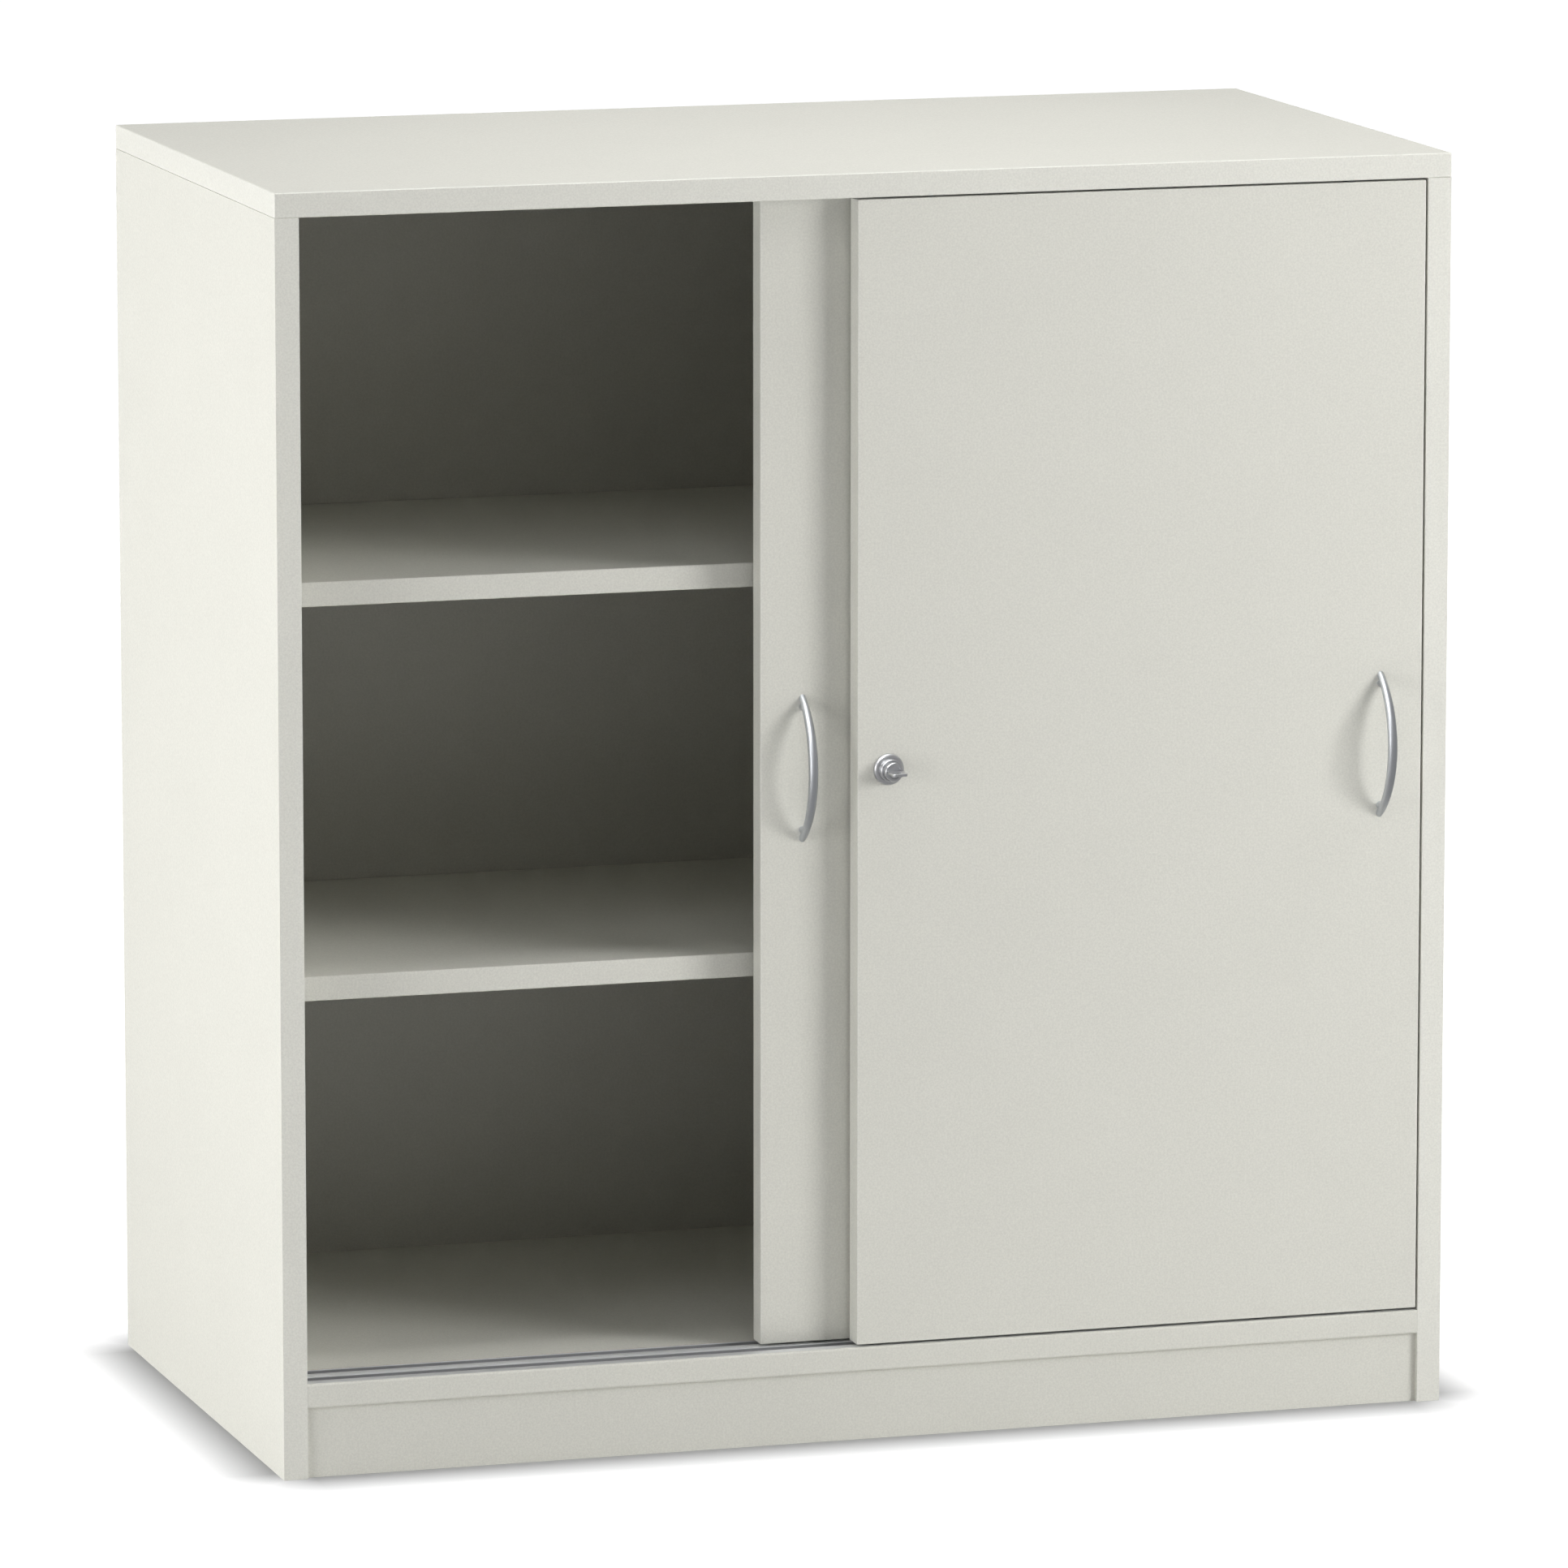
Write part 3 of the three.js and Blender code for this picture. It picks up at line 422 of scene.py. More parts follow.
def polished_metal(name, colour, roughness):
    """Polished or satin metal with a fine grain and faint smears"""
    grain_size = 0.25 * MM
    grain_depth = 0.0008 * MM
    smear_size = 7 * MM
    grain_share = 0.04
    smear_change = 0.03
    finish = Finish(name, roughness, metallic=1.0)
    grain = finish.grain(grain_size, detail=3.0)
    smears = finish.grain(smear_size)
    return finish.use(
        base_color=finish.shade(colour, grain, grain_share),
        roughness=finish.spread(smears, roughness - smear_change, roughness + smear_change),
        normal=finish.bump(grain, grain_depth),
    )


def satin_silver(cabinet):
    return polished_metal("satin_silver", cabinet.handles.colour, cabinet.handles.roughness)


def nickel(cabinet):
    return polished_metal("bright_nickel", cabinet.lock.colour, cabinet.lock.roughness)


def zinc_steel(cabinet):
    """Zinc-plated steel with the crystals of its plating"""
    crystal_size = 1.4 * MM
    crystal_share = 0.12
    smoothest = 0.32
    roughest = 0.46
    finish = Finish("zinc_steel", roughness=0.38, metallic=1.0)
    crystals = finish.cells(crystal_size)
    return finish.use(
        base_color=finish.shade(cabinet.fittings.steel_colour, crystals, crystal_share),
        roughness=finish.spread(crystals, smoothest, roughest, 0.0, 1.0),
    )


def moulded_plastic(cabinet):
    """Moulded grey plastic with a fine eroded texture"""
    texture_size = 0.5 * MM
    texture_depth = 0.03 * MM
    cloud_size = 9 * MM
    cloud_share = 0.06
    smoothest = 0.44
    roughest = 0.58
    finish = Finish("moulded_plastic", roughness=0.5)
    texture = finish.grain(texture_size, detail=3.0)
    return finish.use(
        base_color=finish.shade(cabinet.fittings.plastic_colour, finish.grain(cloud_size), cloud_share),
        roughness=finish.spread(texture, smoothest, roughest),
        normal=finish.bump(texture, texture_depth),
    )


def beech_wood(cabinet):
    """Turned beech with its short dark flecks"""
    fleck_size = 0.4 * MM
    fleck_stretch = (6.0, 1.0, 6.0)
    fleck_depth = 0.03 * MM
    fleck_share = 0.2
    finish = Finish("beech_wood", roughness=0.65)
    flecks = finish.grain(fleck_size, stretch=fleck_stretch)
    return finish.use(
        base_color=finish.shade(cabinet.fittings.beech_colour, flecks, fleck_share),
        normal=finish.bump(flecks, fleck_depth),
    )


MADE = {}


def made(make, *given):
    """The material or node tree that a function makes, made when it is first asked for"""
    if make not in MADE:
        MADE[make] = make(*given)
    return MADE[make]


def made_finish(finish):
    return made(finish, settings())


# Outlines and solids

def soften(outline, radius, steps, closed=True):
    """Rounds the corners of an outline of two-part points, each by no more than its sides allow"""
    side_share = 0.45
    least_turn = math.radians(25)
    count = len(outline)
    softened = []
    for index, point in enumerate(outline):
        corner = Vector(point)
        if not closed and index in (0, count - 1):
            softened.append(corner)
            continue
        before = Vector(outline[index - 1]) - corner
        after = Vector(outline[(index + 1) % count]) - corner
        opening = before.angle(after)
        if math.pi - opening < least_turn:
            softened.append(corner)
            continue
        cut = min(radius / math.tan(opening / 2), before.length * side_share, after.length * side_share)
        start = corner + before.normalized() * cut
        end = corner + after.normalized() * cut
        for step in range(steps + 1):
            share = step / steps
            first = start.lerp(corner, share)
            softened.append(first.lerp(corner.lerp(end, share), share))
    return softened


def arc(middle, radius, start, end, steps):
    """Points of an arc between two angles in degrees"""
    points = []
    for step in range(steps + 1):
        angle = math.radians(start + (end - start) * step / steps)
        points.append((middle[0] + radius * math.cos(angle), middle[1] + radius * math.sin(angle)))
    return points


def box_shape(low, high):
    shape = bmesh.new()
    bmesh.ops.create_cube(shape, size=1.0)
    for vert in shape.verts:
        vert.co = Vector(low[axis] + (high[axis] - low[axis]) * (vert.co[axis] + 0.5) for axis in range(3))
    return shape


def round_edges(shape, edges, radius, steps):
    bmesh.ops.bevel(
        shape, geom=edges, affect="EDGES", offset=radius, segments=steps, profile=0.5, clamp_overlap=True)


def softened_box(low, high):
    """A box with the softened corners of the small fittings"""
    fittings = settings().fittings
    shape = box_shape(low, high)
    round_edges(shape, shape.edges[:], fittings.corner_radius, fittings.corner_steps)
    return shape


def turned_shape(profile, steps):
    """A solid turned round Z from pairs of radius and height; the profile closes on itself or on the axis"""
    shape = bmesh.new()
    rings = []
    for radius, height in profile:
        if radius < TINY:
            rings.append([shape.verts.new((0.0, 0.0, height))])
            continue
        turns = [2 * math.pi * step / steps for step in range(steps)]
        places = [(radius * math.cos(turn), radius * math.sin(turn), height) for turn in turns]
        rings.append([shape.verts.new(place) for place in places])
    pairs = list(zip(rings, rings[1:]))
    if len(rings[0]) > 1:
        pairs.append((rings[-1], rings[0]))
    for lower, upper in pairs:
        for here in range(steps):
            there = (here + 1) % steps
            corners = [
                lower[here % len(lower)], lower[there % len(lower)],
                upper[there % len(upper)], upper[here % len(upper)]]
            corners = list(dict.fromkeys(corners))
            if len(corners) > 2:
                shape.faces.new(corners)
    return shape


def extruded_shape(outline, axis, start, end):
    """A solid of one outline, whose points lie across the axis in the order of the other two axes"""
    across = [other for other in range(3) if other != axis]
    shape = bmesh.new()
    rings = []
    for along in (start, end):
        ring = []
        for point in outline:
            corner = Vector((0.0, 0.0, 0.0))
            corner[axis] = along
            corner[across[0]] = point[0]
            corner[across[1]] = point[1]
            ring.append(shape.verts.new(corner))
        rings.append(ring)
    first, last = rings
    count = len(outline)
    for here in range(count):
        there = (here + 1) % count
        shape.faces.new((first[here], first[there], last[there], last[here]))
    shape.faces.new(first[::-1])
    shape.faces.new(last)
    return shape


# Turns that lay the Z axis of a drawn solid along an axis of the cabinet
LAID_ALONG = {
    X: Matrix.Rotation(math.pi / 2, 4, "Y"),
    Y: Matrix.Rotation(-math.pi / 2, 4, "X"),
    Z: Matrix.Identity(4),
}


def lay(shape, axis, place):
    bmesh.ops.transform(shape, matrix=Matrix.Translation(place) @ LAID_ALONG[axis], verts=shape.verts)
    return shape


def join(shape, other):
    """Adds a second solid to a shape"""
    mesh = bpy.data.meshes.new("joined")
    other.to_mesh(mesh)
    other.free()
    shape.from_mesh(mesh)
    bpy.data.meshes.remove(mesh)


def cylinder_shape(radius, axis, start, length, steps):
    profile = [(0.0, 0.0), (radius, 0.0), (radius, length), (0.0, length)]
    return lay(turned_shape(profile, steps), axis, start)


# Pieces

def add_object(name, data):
    """A new object in the scene for a mesh, a lamp or a camera"""
    added = bpy.data.objects.new(name, data)
    bpy.context.scene.collection.objects.link(added)
    return added


def shape_object(name, shape, materials):
    """A new object with the mesh of a solid, its faces turned outwards"""
    bmesh.ops.recalc_face_normals(shape, faces=shape.faces)
    mesh = bpy.data.meshes.new(name)
    for material in materials:
        mesh.materials.append(material)
    shape.to_mesh(mesh)
    shape.free()
    return add_object(name, mesh)


def make_plain(piece):
    """Turns what the piece's modifiers make into its plain mesh"""
    graph = bpy.context.evaluated_depsgraph_get()
    mesh = bpy.data.meshes.new_from_object(piece.evaluated_get(graph), depsgraph=graph)
    piece.modifiers.clear()
    rough = piece.data
    piece.data = mesh
    bpy.data.meshes.remove(rough)
    mesh.name = piece.name
    if not mesh.polygons:
        raise RuntimeError(f"{piece.name} has no faces")


def drop(objects):
    for old in objects:
        mesh = old.data
        bpy.data.objects.remove(old)
        bpy.data.meshes.remove(mesh)


def cut(piece, shapes):
    """Cuts solids out of a piece; the cut faces take its last material"""
    last = len(piece.data.materials) - 1
    cutters = []
    for shape in shapes:
        for face in shape.faces:
            face.material_index = last
        cutter = shape_object("cutter", shape, piece.data.materials)
        modifier = piece.modifiers.new("Cut", "BOOLEAN")
        modifier.operation = "DIFFERENCE"
        modifier.solver = "EXACT"
        modifier.material_mode = "INDEX"
        modifier.object = cutter
        cutters.append(cutter)
    make_plain(piece)
    drop(cutters)


def smooth(piece):
    """Soft shading over rounded corners, with true flat faces and sharp arrises"""
    crease = math.radians(38)
    piece.data.shade_smooth()
    piece.data.set_sharp_from_angle(angle=crease)
    modifier = piece.modifiers.new("Weighted normals", "WEIGHTED_NORMAL")
    modifier.keep_sharp = True
    make_plain(piece)


def finish_piece(piece, body, nodes, cuts=()):
    """Cuts and smooths a piece, and sets it in the frame in place of the nodes"""
    if cuts:
        cut(piece, cuts)
    smooth(piece)
    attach(piece, body)
    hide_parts(*nodes)


def solid_piece(name, shape, finish, body, nodes, cuts=()):
    """A finished piece of one solid and one material"""
    piece = shape_object(name, shape, [made_finish(finish)])
    finish_piece(piece, body, nodes, cuts)


def node_middle(node):
    low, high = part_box(node)
    return (low + high) / 2


def node_radius(node):
    low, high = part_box(node)
    return (high.x - low.x) / 2


def node_length(node):
    """The length from front to rear"""
    low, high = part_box(node)
    return high.y - low.y


def door_body(door):
    return f"{door}_door"


# Cuts in boards

def opened(board, low, high):
    """A pocket grown by the seat gap, and right through each face of the board that it nearly reaches"""
    board_low, board_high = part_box(board)
    for axis in range(3):
        low[axis] -= SEAT_GAP
        high[axis] += SEAT_GAP
        if low[axis] < board_low[axis] + OPEN_WITHIN:
            low[axis] = min(low[axis], board_low[axis] - OVERRUN)
        if high[axis] > board_high[axis] - OPEN_WITHIN:
            high[axis] = max(high[axis], board_high[axis] + OVERRUN)
    return low, high


def pocket(board, node):
    """The room that a board leaves for a piece with a square outline"""
    low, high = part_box(node)
    return box_shape(*opened(board, low.copy(), high.copy()))


def bore(board, node, axis, radius=None):
    """The room that a board leaves for a round piece that lies along an axis"""
    steps = 48
    low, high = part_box(node)
    across = (axis + 1) % 3
    radius = radius or (high[across] - low[across]) / 2
    low, high = opened(board, low.copy(), high.copy())
    start = node_middle(node)
    start[axis] = low[axis]
    return cylinder_shape(radius + SEAT_GAP, axis, start, high[axis] - low[axis], steps)


# Boards

def make_board(
        name, node, body, thickness_axis, cuts=(), front_only=False, radius=None, face=board_face,
        band=edge_band, ends=None):
    """A coated board in the place of a node: faces across the thickness are coated, the others are banded"""
    nearly_square = 0.9999
    boards = settings().boards
    low, high = [corner.copy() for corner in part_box(node)]
    if ends:
        low.x, high.x = ends
    shape = box_shape(low, high)
    edges = shape.edges[:]
    if front_only:
        edges = [edge for edge in edges if is_front_edge(edge, low[Y])]
    round_edges(shape, edges, boards.edge_radius if radius is None else radius, boards.edge_steps)
    shape.normal_update()
    for face_part in shape.faces:
        is_band = abs(face_part.normal[thickness_axis]) < nearly_square
        face_part.material_index = 1 if is_band else 0
    piece = shape_object(name, shape, [made_finish(face), made_finish(band), made_finish(chipboard)])
    finish_piece(piece, body, [node], cuts)


def is_front_edge(edge, front):
    """True for the two long edges at the front of a level board"""
    first, second = (vert.co for vert in edge.verts)
    at_front = abs(first.y - front) < TINY and abs(second.y - front) < TINY
    return at_front and abs(first.z - second.z) < TINY


def dowel_bores(board, row, sides, axis):
    return [bore(board, f"{row}_dowel_{side}_{end}", axis) for side in sides for end in ENDS]


def make_top_board():
    cuts = [pocket("top_panel", "back_panel"), pocket("top_panel", "upper_track")]
    cuts += dowel_bores("top_panel", "top", SIDES, Z)
    make_board("top_board", "top_panel", "carcass", Z, cuts)


def make_side_boards():
    radius = settings().boards.plain_radius
    for side in SIDES:
        panel = f"{side}_side_panel"
        cuts = [pocket(panel, "back_panel")]
        cuts += dowel_bores(panel, "top", [side], Z)
        cuts += dowel_bores(panel, "bottom", [side], X)
        supports = [f"{row}_shelf_support_{side}_{end}" for row in LEVELS for end in ENDS]
        cuts += [bore(panel, support, X, SUPPORT_PIN_RADIUS) for support in supports]
        make_board(f"{side}_side_board", panel, "carcass", X, cuts, radius=radius)


def make_bottom_board():
    cuts = [pocket("bottom_panel", "lower_track"), pocket("bottom_panel", "back_panel")]
    cuts += dowel_bores("bottom_panel", "bottom", SIDES, X)
    ends = (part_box("left_side_panel")[1].x + JOINT_GAP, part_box("right_side_panel")[0].x - JOINT_GAP)
    radius = settings().boards.rail_radius
    make_board(
        "bottom_board", "bottom_panel", "carcass", Z, cuts, front_only=True, radius=radius, band=board_face,
        ends=ends)


def make_plinth():
    radius = settings().boards.plain_radius
    make_board("plinth_front", "plinth_board", "carcass", Y, radius=radius)


def make_back():
    radius = settings().boards.plain_radius
    make_board("back_board", "back_panel", "carcass", Y, radius=radius, face=back_face, band=back_face)


def make_shelves():
    for row in LEVELS:
        make_board(f"{row}_shelf_board", f"{row}_shelf", "carcass", Z, front_only=True, band=board_face)


def door_cuts(door):
    """Housings, guides and handle screws are let into both doors in the same way"""
    panel = f"{door}_door_panel"
    cuts = [pocket(panel, f"{door}_runner_housing_{side}") for side in SIDES]
    cuts += [bore(panel, f"{door}_guide_pin_{side}", Z) for side in SIDES]
    cuts += [bore(panel, f"{door}_handle_screw_{level}", Y, SCREW_RADIUS) for level in LEVELS]
    return cuts


def make_front_door():
    panel = "front_door_panel"
    cuts = door_cuts("front") + [bore(panel, "lock_housing", Y), bore(panel, "lock_nut", Y)]
    make_board("front_door_board", panel, "front_door", Y, cuts)


def make_rear_door():
    lock = settings().lock
    steps = 24
    panel = "rear_door_panel"
    cuts = door_cuts("rear")
    middle = node_middle("strike_plate")
    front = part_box(panel)[0][Y]
    for side in (-1, 1):
        start = (middle.x, front - OVERRUN, middle.z + side * lock.peg_spacing / 2)
        length = OVERRUN + lock.peg_depth + SEAT_GAP
        cuts.append(cylinder_shape(lock.peg_radius + SEAT_GAP, Y, start, length, steps))
    make_board("rear_door_board", panel, "rear_door", Y, cuts)


# Tracks

def track_outline(node, groove_width, groove_middles, depth_sign):
    """A section across the track, from its closed side: depth_sign is 1 where the grooves open upwards"""
    fittings = settings().fittings
    low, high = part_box(node)
    closed = low[Z] if depth_sign > 0 else high[Z]
    open_side = high[Z] if depth_sign > 0 else low[Z]
    floor = closed + depth_sign * fittings.track_floor
    front, rear = [(middle - groove_width / 2, middle + groove_width / 2) for middle in groove_middles]
    bead = front[1] + (rear[0] - front[1]) / 3
    half_bead = fittings.bead_width / 2
    outline = [
        (low[Y], closed), (high[Y], closed), (high[Y], open_side),
        (rear[1], open_side), (rear[1], floor), (rear[0], floor), (rear[0], open_side),
        (bead + half_bead, open_side), (bead, open_side - depth_sign * fittings.bead_depth),
        (bead - half_bead, open_side),
        (front[1], open_side), (front[1], floor), (front[0], floor), (front[0], open_side),
        (low[Y], open_side)]
    return soften(outline, fittings.corner_radius, fittings.corner_steps)


def make_track(name, node, groove_width, groove_middles, depth_sign):
    low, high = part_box(node)
    outline = track_outline(node, groove_width, groove_middles, depth_sign)
    solid_piece(name, extruded_shape(outline, X, low[X], high[X]), anodised, "carcass", [node])


def make_tracks():
    fittings = settings().fittings
    wheels = [node_middle(f"{door}_runner_wheel_left")[Y] for door in DOORS]
    pins = [node_middle(f"{door}_guide_pin_left")[Y] for door in DOORS]
    make_track("lower_track_profile", "lower_track", fittings.lower_groove, wheels, 1)
    make_track("upper_track_profile", "upper_track", fittings.upper_groove, pins, -1)


def make_door_stops():
    for door in DOORS:
        node = f"{door}_door_stop"
        shape = softened_box(*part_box(node))
        solid_piece(f"{door}_stop_block", shape, moulded_plastic, "carcass", [node])


# Node trees for shapes

def new_shape_tree(name, inputs):
    """A tree with named inputs, given as pairs of name and kind, and one geometry output"""
    tree = bpy.data.node_groups.new(name, "GeometryNodeTree")
    for socket, kind in inputs:
        tree.interface.new_socket(name=socket, in_out="INPUT", socket_type=f"NodeSocket{kind}")
    tree.interface.new_socket(name="Geometry", in_out="OUTPUT", socket_type="NodeSocketGeometry")
    return tree, tree.nodes.new("NodeGroupInput").outputs


def end_shape_tree(tree, geometry, finish):
    """Ends a tree in real geometry with one material"""
    real = add_node(tree, "GeometryNodeRealizeInstances", {"Geometry": geometry})
    values = {"Geometry": real.outputs["Geometry"], "Material": finish}
    painted = add_node(tree, "GeometryNodeSetMaterial", values)
    add_node(tree, "NodeGroupOutput", {"Geometry": painted.outputs["Geometry"]})


def vector(tree, x=0.0, y=0.0, z=0.0):
    return add_node(tree, "ShaderNodeCombineXYZ", {"X": x, "Y": y, "Z": z}).outputs["Vector"]


def moved(tree, node, place, turn=(0.0, 0.0, 0.0)):
    """The mesh that a node makes, turned and moved"""
    values = {"Geometry": node.outputs["Mesh"], "Translation": place, "Rotation": turn}
    return add_node(tree, "GeometryNodeTransform", values).outputs["Geometry"]


def copies_tree():
    """Sets a template on every point, turned by the point's own turn"""
    tree, given = new_shape_tree("Copies on points", [
        ("Points", "Geometry"), ("Template", "Object"), ("Scale", "Float"), ("Finish", "Material")])
    turn = add_node(tree, "GeometryNodeInputNamedAttribute", {"Name": "turn"}, data_type="FLOAT_VECTOR")
    rotation = add_node(tree, "FunctionNodeEulerToRotation", {"Euler": turn.outputs["Attribute"]})
    template = add_node(tree, "GeometryNodeObjectInfo", {"Object": given["Template"]})
    copies = add_node(tree, "GeometryNodeInstanceOnPoints", {
        "Points": given["Points"], "Instance": template.outputs["Geometry"],
        "Rotation": rotation.outputs["Rotation"],
        "Scale": vector(tree, given["Scale"], given["Scale"], given["Scale"])})
    end_shape_tree(tree, copies.outputs["Instances"], given["Finish"])
    return tree


def handle_tree():
    """A bow handle that stands out along X, with its length along Y: a rod that swells, on two feet"""
    block_share = 4.0
    tree, given = new_shape_tree("Bow handle", [
        ("Arc Radius", "Float"), ("Half Angle", "Float"), ("Bow", "Float"), ("Middle Radius", "Float"),
        ("End Radius", "Float"), ("Foot Radius", "Float"), ("Foot Reach", "Float"), ("Foot Spacing", "Float"),
        ("Rod Sides", "Int"), ("Rod Steps", "Int"), ("Finish", "Material")])
    path = add_node(tree, "GeometryNodeCurveArc", {
        "Resolution": given["Rod Steps"], "Radius": given["Arc Radius"],
        "Start Angle": calculate(tree, "MULTIPLY", given["Half Angle"], -1.0),
        "Sweep Angle": calculate(tree, "MULTIPLY", given["Half Angle"], 2.0)}, mode="RADIUS")
    along = add_node(tree, "GeometryNodeSplineParameter").outputs["Factor"]
    swell = calculate(tree, "SINE", calculate(tree, "MULTIPLY", along, math.pi))
    growth = calculate(tree, "SUBTRACT", given["Middle Radius"], given["End Radius"])
    radius = calculate(tree, "ADD", given["End Radius"], calculate(tree, "MULTIPLY", growth, swell))
    ring = add_node(tree, "GeometryNodeCurvePrimitiveCircle", {
        "Resolution": given["Rod Sides"], "Radius": 1.0}, mode="RADIUS")
    rod = add_node(tree, "GeometryNodeCurveToMesh", {
        "Curve": path.outputs["Curve"], "Profile Curve": ring.outputs["Curve"], "Scale": radius,
        "Fill Caps": True})
    middle = calculate(tree, "SUBTRACT", given["Bow"], given["Arc Radius"])
    parts = [moved(tree, rod, vector(tree, middle))]
    for side in (-0.5, 0.5):
        foot = add_node(tree, "GeometryNodeMeshCylinder", {
            "Vertices": given["Rod Sides"], "Radius": given["Foot Radius"], "Depth": given["Foot Reach"]})
        reach = calculate(tree, "MULTIPLY", given["Foot Reach"], 0.5)
        place = vector(tree, reach, calculate(tree, "MULTIPLY", given["Foot Spacing"], side))
        parts.append(moved(tree, foot, place, (0.0, math.pi / 2, 0.0)))
    whole = add_node(tree, "GeometryNodeMeshBoolean", operation="UNION", solver="EXACT")
    for part in parts:
        tree.links.new(part, whole.inputs["Mesh 2"])
    size = calculate(tree, "MULTIPLY", given["Arc Radius"], block_share)
    block = add_node(tree, "GeometryNodeMeshCube", {"Size": vector(tree, size, size, size)})
    behind = moved(tree, block, vector(tree, calculate(tree, "MULTIPLY", size, -0.5)))
    trimmed = add_node(tree, "GeometryNodeMeshBoolean", {
        "Mesh 1": whole.outputs["Mesh"], "Mesh 2": behind}, operation="DIFFERENCE", solver="EXACT")
    end_shape_tree(tree, trimmed.outputs["Mesh"], given["Finish"])
    return tree


def coil_tree():
    """A coil spring that stands along Z, with closed ends of its wire"""
    tree, given = new_shape_tree("Coil spring", [
        ("Turns", "Float"), ("Coil Radius", "Float"), ("Length", "Float"), ("Wire Radius", "Float"),
        ("Wire Sides", "Int"), ("Turn Steps", "Int"), ("Finish", "Material")])
    path = add_node(tree, "GeometryNodeCurveSpiral", {
        "Resolution": given["Turn Steps"], "Rotations": given["Turns"], "Height": given["Length"],
        "Start Radius": given["Coil Radius"], "End Radius": given["Coil Radius"]})
    ring = add_node(tree, "GeometryNodeCurvePrimitiveCircle", {
        "Resolution": given["Wire Sides"], "Radius": given["Wire Radius"]}, mode="RADIUS")
    wire = add_node(tree, "GeometryNodeCurveToMesh", {
        "Curve": path.outputs["Curve"], "Profile Curve": ring.outputs["Curve"], "Fill Caps": True})
    end_shape_tree(tree, wire.outputs["Mesh"], given["Finish"])
    return tree


def grow(name, make_tree, inputs, mesh=None):
    """A plain mesh piece made by a node tree from its named inputs"""
    tree = made(make_tree)
    piece = add_object(name, mesh or bpy.data.meshes.new(name))
    modifier = piece.modifiers.new(tree.name, "NODES")
    modifier.node_group = tree
    for socket in tree.interface.items_tree:
        if socket.in_out == "INPUT" and socket.name in inputs:
            modifier[socket.identifier] = inputs[socket.name]
    make_plain(piece)
    return piece


def copy_on_places(name, shape, finish, places):
    """One mesh with a copy of the shape at each place and turn"""
    template = shape_object("template", shape, [finish])
    points = bpy.data.meshes.new(name)
    points.from_pydata([place for place, turn in places], [], [])
    turns = points.attributes.new("turn", "FLOAT_VECTOR", "POINT")
    for entry, (place, turn) in zip(turns.data, places):
        entry.vector = turn
    piece = grow(name, copies_tree, {"Template": template, "Scale": 1.0, "Finish": finish}, points)
    left_over = piece.data.attributes.get("turn")
    if left_over:
        piece.data.attributes.remove(left_over)
    drop([template])
    return piece


def make_set(name, shape, finish, places, body, nodes, cuts=()):
    """One finished piece of like copies in place of their nodes"""
    piece = copy_on_places(name, shape, made_finish(finish), places)
    finish_piece(piece, body, nodes, cuts)


def turned_piece(name, node, body, profile, finish, closed=True, cuts=()):
    """A piece turned round a line along Y through its node's middle, drawn from the node's front end"""
    start = node_middle(node)
    start.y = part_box(node)[0].y
    shape = lay(softened_turn(profile, closed), Y, start)
    solid_piece(name, shape, finish, body, [node], cuts)


# Turns of a copy whose template points along Z
TURN_X = (0.0, math.pi / 2, 0.0)
TURN_BACK_X = (0.0, -math.pi / 2, 0.0)
TURN_Y = (-math.pi / 2, 0.0, 0.0)
TURN_Z = (0.0, 0.0, 0.0)


def softened_turn(profile, closed=False, steps=None):
    """A turned solid with the softened corners of the small fittings"""
    fittings = settings().fittings
    outline = soften(profile, fittings.corner_radius, fittings.corner_steps, closed)
    return turned_shape(outline, steps or fittings.round_steps)


# Small fittings of the carcass

def make_shelf_supports():
    """Nickel pegs in the sides, with a flat pad under the shelf"""
    low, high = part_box("lower_shelf_support_left_front")
    inner_face = {"left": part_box("left_side_panel")[1].x, "right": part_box("right_side_panel")[0].x}
    pad_length = high.x - inner_face["left"]
    half = (high - low) / 2
    shape = softened_box((-half.z, -half.y, 0.0), (half.z, half.y, pad_length))
    length = inner_face["left"] - low.x
    radius = SUPPORT_PIN_RADIUS
    join(shape, softened_turn([(0.0, -length), (radius, -length), (radius, 0.0), (0.0, 0.0)]))
    places = []
    nodes = []
    for row in LEVELS:
        for side in SIDES:
            for end in ENDS:
                node = f"{row}_shelf_support_{side}_{end}"
                place = node_middle(node)
                place.x = inner_face[side]
                places.append((place, TURN_X if side == "left" else TURN_BACK_X))
                nodes.append(node)
    make_set("shelf_support_set", shape, nickel, places, "carcass", nodes)


def make_dowels():
    """Beech dowels with chamfered ends, standing in the top joints and lying in the bottom joints"""
    chamfer = 1 * MM
    steps = 24
    low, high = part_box("top_dowel_left_front")
    radius = (high.x - low.x) / 2
    half = (high.z - low.z) / 2
    profile = [
        (0.0, -half), (radius - chamfer, -half), (radius, chamfer - half),
        (radius, half - chamfer), (radius - chamfer, half), (0.0, half)]
    places = []
    nodes = []
    for row, turn in (("top", TURN_Z), ("bottom", TURN_X)):
        for side in SIDES:
            for end in ENDS:
                node = f"{row}_dowel_{side}_{end}"
                places.append((node_middle(node), turn))
                nodes.append(node)
    shape = softened_turn(profile, steps=steps)
    make_set("dowel_set", shape, beech_wood, places, "carcass", nodes)


# Runners and guides of the doors

def axle_place(door, side):
    """The front end of a runner's axle on the line of the wheel's axis"""
    place = node_middle(f"{door}_runner_wheel_{side}")
    place.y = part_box(f"{door}_runner_axle_{side}")[0].y
    return place


